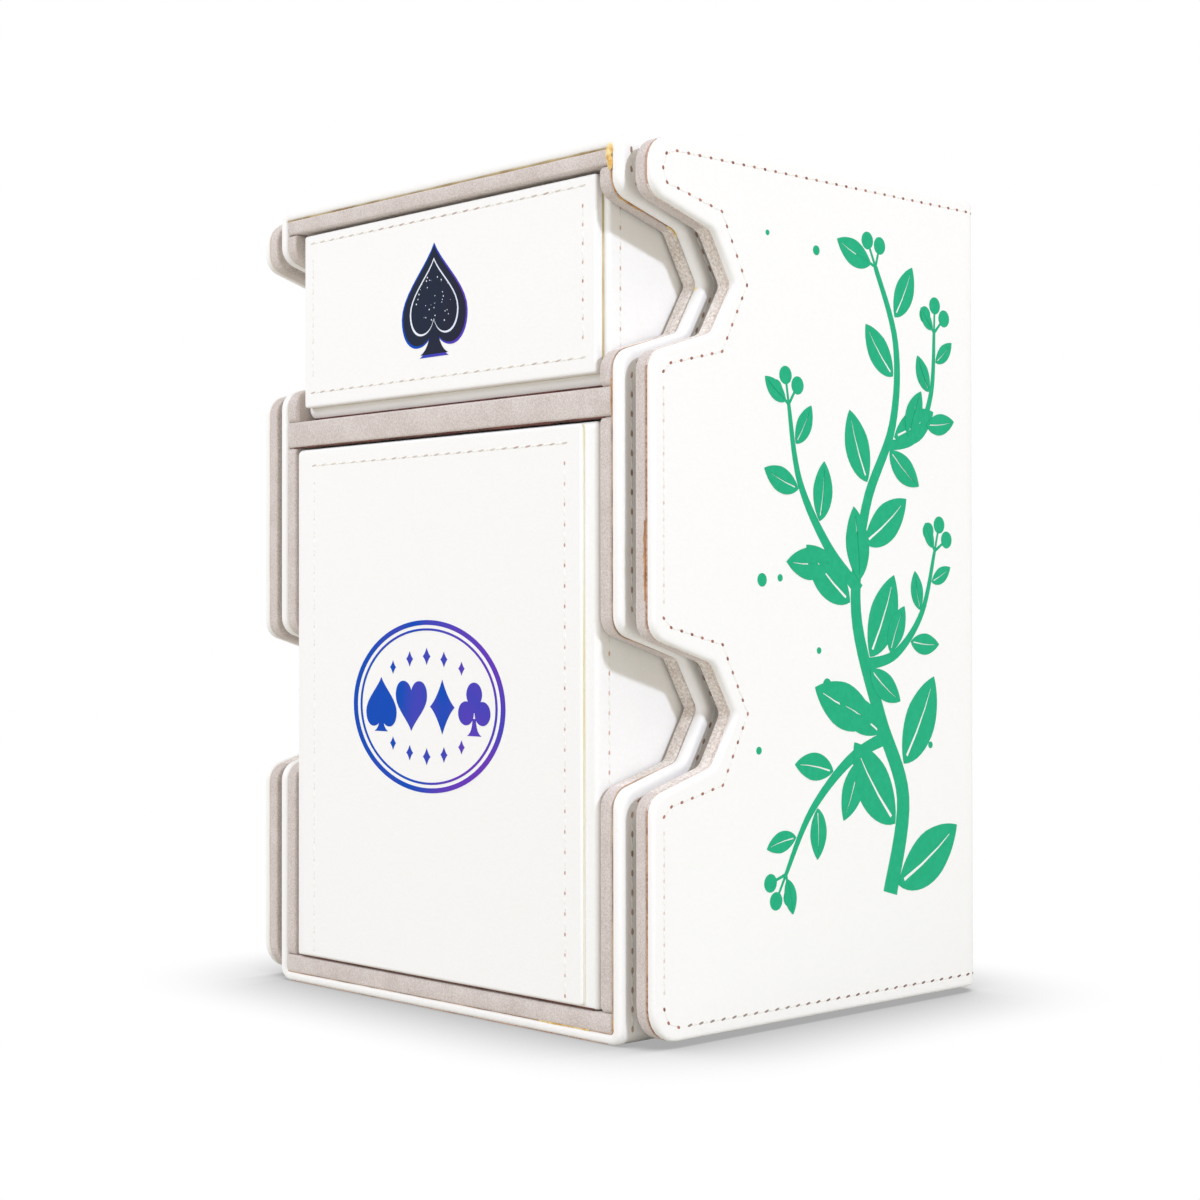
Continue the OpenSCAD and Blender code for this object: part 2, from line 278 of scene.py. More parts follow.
@dataclass(frozen=True)
class PuLeather(Finish):
    """PU-coated leather: a smooth matt film embossed with a fine pebble grain, so it is pale and soft."""

    colour: str = "#f9f9f8"
    hollow_colour: str = "#f7f7f4"
    grain_mm: float = 0.55      # embossed pebble
    grain_depth_mm: float = 0.014
    ripple_mm: float = 12.0     # how the film lies over the board
    ripple_depth_mm: float = 0.025
    gloss_mm: float = 3.0       # patches where the film is a little shinier

    def look(self, tree: Tree) -> dict[str, object]:
        """The grain, the ripple of the film and its faintly uneven gloss."""
        place = add_node(tree, "ShaderNodeTexCoord").outputs["Object"]
        pebble = add_node(
            tree, "ShaderNodeTexVoronoi",
            {"Vector": place, "Scale": pattern_scale(self.grain_mm), "Smoothness": 0.6},
            feature="SMOOTH_F1",
        ).outputs["Distance"]
        ripple = relief(tree, speckle(tree, self.ripple_mm, 1.0), self.ripple_depth_mm)
        patches = speckle(tree, self.gloss_mm)
        gloss = add_node(tree, "ShaderNodeMapRange", {"Value": patches, "To Min": 0.42, "To Max": 0.56})
        return {
            "Base Color": two_tone(tree, pebble, 0.15, 0.75, self.colour, self.hollow_colour),
            "Roughness": gloss.outputs["Result"],
            "Normal": relief(tree, pebble, self.grain_depth_mm, ripple),
            "IOR": 1.48,
        }


@dataclass(frozen=True)
class Microfibre(Finish):
    """Napped microfibre glued on board: dull, warm grey, with a short nap that lifts light at its edges."""

    colour: str = "#dfd6d1"
    dark_colour: str = "#c0b4ad"
    nap_mm: float = 0.32        # a tuft of nap, drawn a little coarse so that it shows
    nap_depth_mm: float = 0.07
    cloud_mm: float = 6.0       # where the nap lies one way or the other

    def look(self, tree: Tree) -> dict[str, object]:
        """The nap, its clouding and its sheen."""
        nap = speckle(tree, self.nap_mm, 4.0)
        cloud = speckle(tree, self.cloud_mm, 2.0)
        mixed = add_node(tree, "ShaderNodeMath", {0: cloud, 1: 0.35, 2: nap}, operation="MULTIPLY_ADD")
        return {
            "Base Color": two_tone(tree, mixed.outputs[0], 0.45, 0.85, self.dark_colour, self.colour),
            "Normal": relief(tree, nap, self.nap_depth_mm),
            "Roughness": 0.95,
            "Specular IOR Level": 0.2,
            "Sheen Weight": 0.25,
            "Sheen Roughness": 0.5,
        }


@dataclass(frozen=True)
class RawFibre(Finish):
    """A cut or bare fibrous face, such as a leather's backing or greyboard: dry, uneven and without gloss."""

    colour: str
    dark_colour: str
    fibre_mm: float = 0.5
    fibre_depth_mm: float = 0.08
    patch_fibres: float = 14.0  # a patch of one colour, in fibres

    def look(self, tree: Tree) -> dict[str, object]:
        """The fibres and their patchy colour."""
        fibre = speckle(tree, self.fibre_mm, 4.0)
        patch = speckle(tree, self.fibre_mm * self.patch_fibres, 2.0)
        mixed = add_node(tree, "ShaderNodeMath", {0: patch, 1: 0.8, 2: fibre}, operation="MULTIPLY_ADD")
        return {
            "Base Color": two_tone(tree, mixed.outputs[0], 0.7, 1.05, self.dark_colour, self.colour),
            "Normal": relief(tree, fibre, self.fibre_depth_mm),
            "Roughness": 0.9,
            "Specular IOR Level": 0.25,
        }


@dataclass(frozen=True)
class SpunThread(Finish):
    """Spun polyester sewing thread: two plies twisted together, with a soft silky gloss."""

    colour: str = "#f8f7f3"
    shadow_colour: str = "#eeebe3"
    ply_mm: float = 0.35
    ply_depth_mm: float = 0.03
    coarseness: float = 6.3     # the plies are drawn coarser than they are, so that they show

    def look(self, tree: Tree) -> dict[str, object]:
        """The plies as slanting bands."""
        place = add_node(tree, "ShaderNodeTexCoord").outputs["Object"]
        bands = pattern_scale(self.ply_mm) / self.coarseness
        ply = add_node(
            tree, "ShaderNodeTexWave", {"Vector": place, "Scale": bands, "Distortion": 0.6},
            bands_direction="DIAGONAL",
        ).outputs["Fac"]
        return {
            "Base Color": two_tone(tree, ply, 0.0, 0.7, self.shadow_colour, self.colour),
            "Normal": relief(tree, ply, self.ply_depth_mm),
            "Roughness": 0.6,
        }


@dataclass(frozen=True)
class FoilStamp(Finish):
    """Hot-stamped metal foil: a mirror-thin tinted metal that picks up the leather's unevenness below it."""

    colour: str = "#0b4cb8"
    far_colour: str = "#6a3ab8"
    roughness: float = 0.3
    drift_mm: float = 60.0      # width over which the tint shifts from left to right
    cloud_mm: float = 14.0      # how unevenly it shifts
    crinkle_mm: float = 0.6
    crinkle_depth_mm: float = 0.02

    def look(self, tree: Tree) -> dict[str, object]:
        """The shift of tint across the foil and its fine crinkle."""
        place = add_node(tree, "ShaderNodeTexCoord").outputs["Object"]
        across = add_node(tree, "ShaderNodeSeparateXYZ", {"Vector": place}).outputs["X"]
        drift = add_node(
            tree, "ShaderNodeMath",
            {0: across, 1: pattern_scale(self.drift_mm), 2: speckle(tree, self.cloud_mm, 1.0)},
            operation="MULTIPLY_ADD",
        ).outputs[0]
        return {
            "Base Color": two_tone(tree, drift, 0.35, 0.85, self.colour, self.far_colour),
            "Normal": relief(tree, speckle(tree, self.crinkle_mm), self.crinkle_depth_mm),
            "Metallic": 1.0,
            "Roughness": self.roughness,
        }


@dataclass(frozen=True)
class PrintInk(Finish):
    """Screen-printed ink: one flat, opaque layer that follows the grain below and has a satin gloss."""

    colour: str = "#19ac7c"
    thin_colour: str = "#20b182"
    spot_mm: float = 1.2        # where the ink lies thinner
    grain_mm: float = 0.5       # the leather's grain through it
    grain_depth_mm: float = 0.01

    def look(self, tree: Tree) -> dict[str, object]:
        """Slightly thinner spots of ink and the grain under it."""
        spot = speckle(tree, self.spot_mm)
        return {
            "Base Color": two_tone(tree, spot, 0.4, 0.7, self.colour, self.thin_colour),
            "Normal": relief(tree, speckle(tree, self.grain_mm), self.grain_depth_mm),
            "Roughness": 0.6,
            "Specular IOR Level": 0.2,
        }


@dataclass(frozen=True)
class Coated(Finish):
    """A plain glossy or waxy layer, such as dried glue, edge paint or a hole's bottom, softly mottled."""

    colour: str
    dark_colour: str
    mottle_mm: float
    roughness: float = 0.3
    metallic: float = 0.0
    depth_mm: float = 0.05

    def look(self, tree: Tree) -> dict[str, object]:
        """The mottled colour and a soft unevenness."""
        mottle = speckle(tree, self.mottle_mm)
        return {
            "Base Color": two_tone(tree, mottle, 0.35, 0.62, self.dark_colour, self.colour),
            "Normal": relief(tree, mottle, self.depth_mm),
            "Roughness": self.roughness,
            "Metallic": self.metallic,
        }


# White PU leather over the boards: near-white and even, with a grain that only shows close up
PU_LEATHER = PuLeather("pu_leather_white")
# Warm grey microfibre on the liners, shelf and cover boards: dull and softly speckled
MICROFIBRE = Microfibre("microfibre_warm_grey")
# The same microfibre where a notch cuts it: its backing shows as darker specks
CUT_MICROFIBRE = Microfibre("microfibre_cut_edge", "#f6f0e9", "#c2b3a8", nap_mm=0.45)
# The leather's tan backing at its cut edge: a thin dry brown line
RAW_EDGE = RawFibre("leather_raw_edge", "#cda78f", "#9c7058")
# The same edge inside the notches, where white film was pressed over most of it
PALE_EDGE = RawFibre("leather_pressed_edge", "#ebe0d8", "#c9b2a6")
# Bare greyboard cores: brownish grey, felted from waste paper
GREYBOARD = RawFibre("greyboard", "#a89c8a", "#8d8170", fibre_mm=0.8)
# The left wing's cut edge, sealed with off-white edge paint
WHITE_EDGE = Coated("edge_paint_white", "#f0ece6", "#e4ddd3", mottle_mm=8.0, roughness=0.5)
# The tray panel's cut edge, sealed with cream edge paint
EDGE_PAINT = Coated("edge_paint_cream", "#ecebd8", "#e2d5a2", mottle_mm=40.0, roughness=0.5)
# White polyester sewing thread
THREAD = SpunThread("polyester_thread_white")
# Needle holes: the leather's brown backing at the bottom of each puncture
NEEDLE_HOLE = Coated("needle_hole_brown", "#b47a69", "#88503f", mottle_mm=4.0, roughness=0.8)
# Long punctures in the shade of the walls and the units' sides
WALL_HOLE = Coated("needle_hole_taupe", "#c2ad9d", "#9b8171", mottle_mm=9.0, roughness=0.8)
SIDE_HOLE = Coated("needle_hole_tan", "#e0c4b6", "#cba291", mottle_mm=9.0, roughness=0.8)
# Punctures that their thread nearly fills
PALE_HOLE = Coated("needle_hole_pale", "#ece3dc", "#dccbc3", mottle_mm=5.0, roughness=0.8)
# Slanting punctures along the foot of the cover
GREY_HOLE = Coated("needle_hole_grey", "#9b8d84", "#7c5a4f", mottle_mm=22.0, roughness=0.8)
# Painted shade of each tight stitch of the panels' level rows: a long beige mark laid where a needle hole
# would be
DASH_PAINTED_SHADE = Coated("needle_hole_beige", "#dcd8cc", "#c0a99e", mottle_mm=14.0, roughness=0.8)
# Punctures of the panels' left rows, which the thread closes
FAINT_HOLE = Coated("needle_hole_faint", "#ebe9e3", "#dad7ce", mottle_mm=5.0, roughness=0.8)
# Punctures of the panels' right rows
COLUMN_HOLE = Coated("needle_hole_rose", "#d9bcb2", "#bb8c82", mottle_mm=6.0, roughness=0.8)
# Contact glue that has dried yellow in a corner
GLUE = Coated("contact_glue_yellow", "#f4dfa0", "#d8a23c", mottle_mm=1.4)
# The same glue where it has run thin and browned
OLD_GLUE = Coated("contact_glue_orange", "#d9a864", "#a8733c", mottle_mm=1.5, roughness=0.45)
# Glue that has soaked into the right wing's cut edge
EDGE_GLUE = Coated("contact_glue_soaked", "#c59463", "#94663f", mottle_mm=3.0, roughness=0.6)
# Painted shade: a dark red-brown line laid in the crevice under each unit's floor and under the shelf's front
# edge, where there is only shade
PAINTED_CREVICE_SHADE = RawFibre("leather_backing_dark", "#7a5049", "#553531")
# Glue that has dried olive-brown along the top board
TOP_GLUE = Coated("contact_glue_olive", "#c2ae82", "#8d7449", mottle_mm=7.0, roughness=0.6)
# Contact glue and backing that show brown in the seam between liner and wall
SEAM_GLUE = Coated("contact_glue_brown", "#cfae90", "#8f6a50", mottle_mm=5.0, roughness=0.6)
# The glued seam behind the drawer's padded panel
PANEL_SEAM = Coated("panel_seam_ochre", "#d9cda6", "#bfae7c", mottle_mm=9.0, roughness=0.6)
# Royal blue foil that turns violet, as thin tinted aluminium does
BLUE_FOIL = FoilStamp("foil_royal_blue")
# Near-black blue foil inside the blue one
NAVY_FOIL = FoilStamp("foil_navy", colour="#232b3d", far_colour="#2a2838", roughness=0.35)
# Silver foil lines and specks
SILVER_FOIL = FoilStamp("foil_silver", colour="#f2f6ff", far_colour="#dfe9ff", roughness=0.2)
# Green screen-printing ink
GREEN_INK = PrintInk("screen_ink_green")
# Nickel-plated steel magnet discs
NICKEL = Coated("nickel_plate", "#c9c7c0", "#b9b7b0", mottle_mm=3.0, roughness=0.25, metallic=1.0)


# ---- Outlines ----


@dataclass(frozen=True)
class Corner:
    """A corner of an outline: its place, its rounding, and if the edge that leaves it has a rim."""

    across: float
    up: float
    radius: float = 0.0
    rim: bool = True


@dataclass(frozen=True)
class Outline:
    """Corners with the sheet on their left. An open outline's first and last corners only give directions."""

    corners: tuple[Corner, ...]
    closed: bool = True

    def neighbours(self) -> list[tuple[Corner, Corner, Corner]]:
        """Each corner between the ones before and after it, without an open outline's ends."""
        count = len(self.corners)
        chosen = range(count) if self.closed else range(1, count - 1)
        return [(self.corners[i - 1], self.corners[i], self.corners[(i + 1) % count]) for i in chosen]

    def inset(self, depth: float) -> "Outline":
        """The outline moved into its sheet, with bulging corners tighter and hollow ones wider.

        Args:
            depth: How far each edge with a rim moves.

        Returns:
            The moved outline.
        """
        moved = [inset_corner(*three, depth) for three in self.neighbours()]
        if not self.closed:
            first, last = self.corners[0], self.corners[-1]
            moved.insert(0, Corner(first.across, first.up + depth))
            moved.append(Corner(last.across, last.up + depth))
        return Outline(tuple(moved), self.closed)

    def hollows(self) -> list[Point2]:
        """The places of the hollow corners, where one run of stitches ends and the next one starts."""
        return [(c.across, c.up) for before, c, after in self.neighbours() if turn(before, c, after) < -TOUCH]

    def points(self, keep_sharp: bool = False) -> list[Point2]:
        """The outline's points, with ARC_STEPS chords in each rounded corner.

        Args:
            keep_sharp: Leaves hollow corners sharp, as a row of stitches does.

        Returns:
            The points in order.
        """
        found: list[Point2] = []
        for before, corner, after in self.neighbours():
            hollow = turn(before, corner, after) < 0
            if corner.radius <= 0 or (keep_sharp and hollow):
                found.append((corner.across, corner.up))
            else:
                found.extend(corner_arc(before, corner, after))
        return found


def direction(start: Corner, end: Corner) -> Vector:
    """The unit vector from one corner to another."""
    return Vector((end.across - start.across, end.up - start.up)).normalized()


def turn(before: Corner, corner: Corner, after: Corner) -> float:
    """How an outline turns at a corner: above 0 where the sheet bulges and below 0 where it is hollow."""
    arriving, leaving = direction(before, corner), direction(corner, after)
    return arriving.x * leaving.y - arriving.y * leaving.x


def inset_corner(before: Corner, corner: Corner, after: Corner, depth: float) -> Corner:
    """Moves a corner so that both its edges move into the sheet by depth, or stay if they have no rim."""
    arriving, leaving = direction(before, corner), direction(corner, after)
    first, second = Vector((-arriving.y, arriving.x)), Vector((-leaving.y, leaving.x))
    first_depth = depth if before.rim else 0.0
    second_depth = depth if corner.rim else 0.0
    cross = first.x * second.y - first.y * second.x
    if abs(cross) < TOUCH:
        move = first * first_depth
    else:
        move = Vector((
            (first_depth * second.y - second_depth * first.y) / cross,
            (first.x * second_depth - second.x * first_depth) / cross,
        ))
    radius = corner.radius
    if radius > 0:
        radius = max(radius - depth, 0.05) if cross > 0 else radius + depth
    return Corner(corner.across + move.x, corner.up + move.y, radius, corner.rim)


def corner_arc(before: Corner, corner: Corner, after: Corner) -> list[Point2]:
    """The points of the arc that rounds a corner, no wider than its edges allow."""
    middle = Vector((corner.across, corner.up))
    to_before, to_after = -direction(before, corner), direction(corner, after)
    half = to_before.angle(to_after) / 2
    most = 0.49         # of an edge, so that the arcs at its two ends never meet
    lengths = [(Vector((end.across, end.up)) - middle).length * most for end in (before, after)]
    reach = min(corner.radius / math.tan(half), *lengths)
    radius = reach * math.tan(half)
    centre = middle + (to_before + to_after).normalized() * radius / math.sin(half)
    start = middle + to_before * reach - centre
    end = middle + to_after * reach - centre
    sweep = math.pi - 2 * half
    found = []
    for step in range(ARC_STEPS + 1):
        angle = sweep * step / ARC_STEPS
        point = centre + (start * math.sin(sweep - angle) + end * math.sin(angle)) / math.sin(sweep)
        found.append((point.x, point.y))
    return found


def rectangle(low: Point2, high: Point2, radius: float) -> Outline:
    """A rectangle's outline with all four corners rounded alike."""
    places = ((low[0], low[1]), (high[0], low[1]), (high[0], high[1]), (low[0], high[1]))
    return Outline(tuple(Corner(*place, radius) for place in places))


@dataclass(frozen=True)
class Notch:
    """The finger notch in the front edge of the walls, liners and wings."""

    mouth: float = 14.0
    waist: float = 9.2
    waist_depth: float = 15.6
    depth: float = 21.0
    mouth_radius: float = 4.0
    inner_radius: float = 3.0
    point_radius: float = 1.6
    rise: float = 0.4       # above the middle of its bay
    wing_drop: float = 0.7  # how much lower a wing's notch sits
    wrapped: float = 3.0    # how far the cloth is wrapped round the front edge and into the notch

    def corners(self, front: float, middle: float, upwards: bool = False) -> list[Corner]:
        """The notch's corners.

        Args:
            front: The depth of the edge that the notch is cut into.
            middle: The height of the notch's middle.
            upwards: Whether the outline runs up past the notch, and not down.

        Returns:
            Corners as (depth, height) in the outline's order.
        """
        found = [
            Corner(front, middle + self.mouth, self.mouth_radius),
            Corner(front + self.waist_depth, middle + self.waist, self.inner_radius),
            Corner(front + self.depth, middle, self.point_radius),
            Corner(front + self.waist_depth, middle - self.waist, self.inner_radius),
            Corner(front, middle - self.mouth, self.mouth_radius),
        ]
        return found[::-1] if upwards else found

    def cuts(self, front: float, middles: Sequence[float]) -> Callable[[Point3], bool]:
        """A test for points of a board's edge that lie in a notch at these heights, where cloth is cut."""
        behind, reach = front + self.wrapped, self.waist + 2.0
        return lambda point: point[1] > behind and any(abs(point[2] - middle) < reach for middle in middles)


# ---- Meshes ----


def make_piece(
    name: str,
    points: Sequence[Point3],
    faces: Sequence[Sequence[int]],
    finishes: Sequence[Finish],
    face_finish: Sequence[int] | None = None,
) -> Piece:
    """Makes a closed mesh whose faces point outwards.

    Args:
        name: The piece's name.
        points: Places in millimetres in the shared frame.
        faces: Point numbers of each face.
        finishes: The finishes that the faces choose from.
        face_finish: The number of each face's finish, or None for the first.

    Returns:
        The object, at the origin.
    """
    mesh = bpy.data.meshes.new(name)
    mesh.from_pydata([Vector(point) * MM for point in points], [], faces)
    for finish in finishes:
        mesh.materials.append(finish.material())
    if face_finish is not None:
        mesh.polygons.foreach_set("material_index", face_finish)
    tidy_mesh(mesh)
    return link_object(name, mesh)


def tidy_mesh(mesh: bpy.types.Mesh) -> None:
    """Merges doubles, points faces outwards, and shades all but the sharp edges smooth."""
    with edited(mesh) as work:
        bmesh.ops.remove_doubles(work, verts=work.verts, dist=0.002 * MM)
        bmesh.ops.dissolve_degenerate(work, edges=work.edges, dist=0.001 * MM)
        bmesh.ops.recalc_face_normals(work, faces=work.faces)
    mesh.shade_smooth()
    mesh.set_sharp_from_angle(angle=math.radians(SHARP_ANGLE))


def ring_faces(rings: int, size: int, stacked: bool = False) -> list[tuple[int, int, int, int]]:
    """Quads between closed rings of equal size.

    Args:
        rings: How many rings there are.
        size: How many points a ring has.
        stacked: Whether the last ring joins the first.

    Returns:
        The quads, band by band.
    """
    faces = []
    for band in range(rings if stacked else rings - 1):
        near, far = band * size, (band + 1) % rings * size
        for i in range(size):
            j = (i + 1) % size
            faces.append((near + i, near + j, far + j, far + i))
    return faces


def loft(rings: Sequence[Sequence[Point3]], first: int = 0) -> tuple[list[Point3], list[Face]]:
    """Joins closed rings of points into a skin, with a cap at each end.

    Args:
        rings: The rings, each with the same number of points.
        first: The number that the first point has in its mesh.

    Returns:
        The points and the faces, the caps last.
    """
    size = len(rings[0])
    last = (len(rings) - 1) * size
    faces = [*ring_faces(len(rings), size), tuple(reversed(range(size))), tuple(range(last, last + size))]
    return [point for ring in rings for point in ring], [tuple(first + n for n in face) for face in faces]


def arc_profile(
    centre: Point2, radius: float, start: float, end: float, steps: int = RIM_STEPS
) -> list[Point2]:
    """Points on an arc from one angle to another, in degrees."""
    found = []
    for step in range(steps + 1):
        angle = math.radians(start + (end - start) * step / steps)
        found.append((centre[0] + radius * math.cos(angle), centre[1] + radius * math.sin(angle)))
    return found


@dataclass(frozen=True)
class Rim:
    """How a board or leather is finished along its edge, seen in section."""

    thickness: float
    back_radius: float
    face_radius: float
    raw: float = 0.0            # height of a raw band that starts at the back

    def section(self) -> list[Point2]:
        """The section from the back face round to the front, as (distance in from the edge, height)."""
        back, face, top = self.back_radius, self.face_radius, self.thickness
        found = [(back + BACK_FLAT, 0.0)]
        found += arc_profile((back, back), back, 270, 180)
        if self.raw > 0:
            found += [(depth, self.raw + above) for depth, above in GROOVE]
        found += arc_profile((face, top - face), face, 180, 90)
        found.append((face + FACE_FLAT, top))
        return found

    def is_raw(self, height: float) -> bool:
        """Whether the edge is raw at a height, which it also is on the lower side of the groove."""
        return self.raw > 0 and height <= self.raw + GROOVE[1][1] + 0.01


def slab(
    name: str,
    outline: Outline,
    rim: Rim,
    place: Place,
    finishes: Sequence[Finish],
    in_notch: Callable[[Point3], bool] | None = None,
) -> Piece:
    """A sheet with a softly finished edge.

    Args:
        name: The piece's name.
        outline: The sheet's outline.
        rim: The section of its edge.
        place: Turns (across, up, height) into a place in the frame.
        finishes: The main finish, one for the raw band or cut edge, and one for the raw band in a notch.
        in_notch: Says of a point if it lies in a notch, where the edge is cut or its raw band covered.

    Returns:
        The piece.
    """
    section = rim.section()
    points, faces = loft([
        [place(across, up, height) for across, up in outline.inset(depth).points()]
        for depth, height in section
    ])
    size = len(points) // len(section)
    chosen = []
    for number, face in enumerate(faces[:-2]):
        band = number // size
        notched = in_notch is not None and in_notch(points[face[0]])
        cut = rim.raw == 0 and notched and 0 < band < RIM_STEPS * 2 + 2
        chosen.append((2 if notched else 1) if rim.is_raw(section[band + 1][1]) else int(cut))
    return make_piece(name, points, faces, finishes, chosen + [0, 0])


def replace_board(node: str, radius: float, finish: Finish) -> None:
    """Stands a board with rounded edges, as when cloth is wrapped round it, in for a CAD node of its size.

    Args:
        node: The CAD node.
        radius: The rounding of its edges.
        finish: Its finish.
    """
    low, high = box_mm(node)
    middle, size = (low + high) / 2, high - low
    work = bmesh.new()
    bmesh.ops.create_cube(work, size=1.0)
    for vertex in work.verts:
        vertex.co = Vector([middle[i] + vertex.co[i] * size[i] for i in range(3)]) * MM
    bmesh.ops.bevel(
        work, geom=work.edges, offset=radius * MM, offset_type="OFFSET", segments=3, profile=0.5,
        affect="EDGES",
    )
    piece = new_piece(node + "_soft", work, finish)
    tidy_mesh(piece.data)
    settle(piece, node)


def settle(piece: Piece, *nodes: str) -> None:
    """Makes a piece ride with the CAD nodes that it stands for, and hides them."""
    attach(piece, body_of(nodes[0]))
    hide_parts(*nodes)
    log.info("%s stands for %s", piece.name, ", ".join(nodes))


# ---- Rows of stitches and sprigs of leaves ----


def leaning(tree: Tree, along: Socket, facing: Socket, lean: Socket) -> Socket:
    """Turns an instance's X along a path and its Z away from the surface, then leans it within the surface.

    Args:
        tree: The geometry tree.
        along: The path's direction.
        facing: The surface's normal.
        lean: The angle that the instance leans off the path.

    Returns:
        The rotation.
    """
    first = add_node(tree, "FunctionNodeAlignRotationToVector", {"Vector": along}, axis="X")
    second = add_node(
        tree, "FunctionNodeAlignRotationToVector", {"Rotation": first.outputs[0], "Vector": facing},
        axis="Z", pivot_axis="X",
    )
    spin = add_node(tree, "FunctionNodeEulerToRotation", {
        0: add_node(tree, "ShaderNodeCombineXYZ", {"Z": lean}).outputs[0]}).outputs[0]
    return add_node(
        tree, "FunctionNodeRotateRotation", {"Rotation": second.outputs[0], "Rotate By": spin},
        rotation_space="LOCAL",
    ).outputs[0]


def new_tree(name: str, inputs: dict[str, str]) -> tuple[Tree, bpy.types.Node]:
    """Starts a geometry tree.

    Args:
        name: The tree's name.
        inputs: Socket types by input name, after the geometry itself.

    Returns:
        The tree and its Group Input node.
    """
    tree = bpy.data.node_groups.new(name, "GeometryNodeTree")
    tree.interface.new_socket("Geometry", in_out="INPUT", socket_type="NodeSocketGeometry")
    tree.interface.new_socket("Geometry", in_out="OUTPUT", socket_type="NodeSocketGeometry")
    for label, kind in inputs.items():
        tree.interface.new_socket(label, in_out="INPUT", socket_type=kind)
    return tree, tree.nodes.new("NodeGroupInput")


def even_steps(tree: Tree, curve: Socket, pitch: Socket) -> bpy.types.Node:
    """Resamples each run of a path into equal steps as near to a pitch as they fit."""
    length = add_node(tree, "GeometryNodeSplineLength").outputs["Length"]
    steps = add_node(tree, "ShaderNodeMath", {0: length, 1: pitch}, operation="DIVIDE").outputs[0]
    whole = add_node(tree, "ShaderNodeMath", {0: steps}, operation="ROUND").outputs[0]
    count = add_node(tree, "ShaderNodeMath", {0: whole, 1: 1.0}, operation="ADD").outputs[0]
    return add_node(tree, "GeometryNodeResampleCurve", {"Curve": curve, "Count": count}, mode="COUNT")


def bead(tree: Tree, length: Socket, width: Socket, lift: Socket) -> Socket:
    """A small rounded bead for one stitch or hole, half sunk in the surface."""
    ball = add_node(tree, "GeometryNodeMeshUVSphere", {"Segments": 8, "Rings": 5, "Radius": 0.5})
    size = add_node(tree, "ShaderNodeCombineXYZ", {"X": length, "Y": width, "Z": lift})
    return add_node(
        tree, "GeometryNodeTransform", {"Geometry": ball.outputs["Mesh"], "Scale": size.outputs[0]}
    ).outputs[0]


def stitch_tree() -> Tree:
    """The tree that sews a lockstitch row: a thread over each step of the path, and a hole at its ends."""
    words = ("length", "width", "height", "slant")
    inputs = {"Pitch": "NodeSocketFloat"}
    for part in ("Thread", "Hole"):
        inputs |= {f"{part} {word}": "NodeSocketFloat" for word in words}
        inputs[f"{part} finish"] = "NodeSocketMaterial"
    tree, given = new_tree("lockstitch_row", inputs)
    path = add_node(tree, "GeometryNodeMeshToCurve", {"Mesh": given.outputs["Geometry"]}).outputs[0]
    steps = even_steps(tree, path, given.outputs["Pitch"]).outputs[0]
    facing = add_node(
        tree, "GeometryNodeInputNamedAttribute", {"Name": "facing"}, data_type="FLOAT_VECTOR"
    ).outputs["Attribute"]

    ends_of_steps = add_node(tree, "GeometryNodeCurveToPoints", {"Curve": steps}, mode="EVALUATED")
    holes = ends_of_steps.outputs["Points"]
    single = add_node(tree, "GeometryNodeMergeByDistance", {"Geometry": holes, "Distance": 0.3 * MM})

    wire = add_node(tree, "GeometryNodeCurveToMesh", {"Curve": steps}).outputs[0]
    ends = add_node(tree, "GeometryNodeInputMeshEdgeVertices")
    span = add_node(
        tree, "ShaderNodeVectorMath", {0: ends.outputs["Position 2"], 1: ends.outputs["Position 1"]},
        operation="SUBTRACT",
    ).outputs[0]
    keep = add_node(tree, "GeometryNodeCaptureAttribute", {"Geometry": wire}, domain="EDGE")
    keep.capture_items.new("VECTOR", "Along")
    tree.links.new(span, keep.inputs["Along"])
    middles = add_node(tree, "GeometryNodeMeshToPoints", {"Mesh": keep.outputs[0]}, mode="EDGES")

    sewn = add_node(tree, "GeometryNodeJoinGeometry")
    for part, points, along in (
        ("Thread", middles, keep.outputs["Along"]), ("Hole", single, ends_of_steps.outputs["Tangent"])
    ):
        length, width, height, slant = (given.outputs[f"{part} {word}"] for word in words)
        row = add_node(tree, "GeometryNodeInstanceOnPoints", {
            "Points": points.outputs[0],
            "Instance": bead(tree, length, width, height),
            "Rotation": leaning(tree, along, facing, slant),
        }).outputs[0]
        real = add_node(tree, "GeometryNodeRealizeInstances", {0: row}).outputs[0]
        finish = given.outputs[f"{part} finish"]
        dressed = add_node(tree, "GeometryNodeSetMaterial", {"Geometry": real, "Material": finish})
        tree.links.new(dressed.outputs[0], sewn.inputs[0])
    add_node(tree, "NodeGroupOutput", {0: sewn.outputs[0]})
    return tree


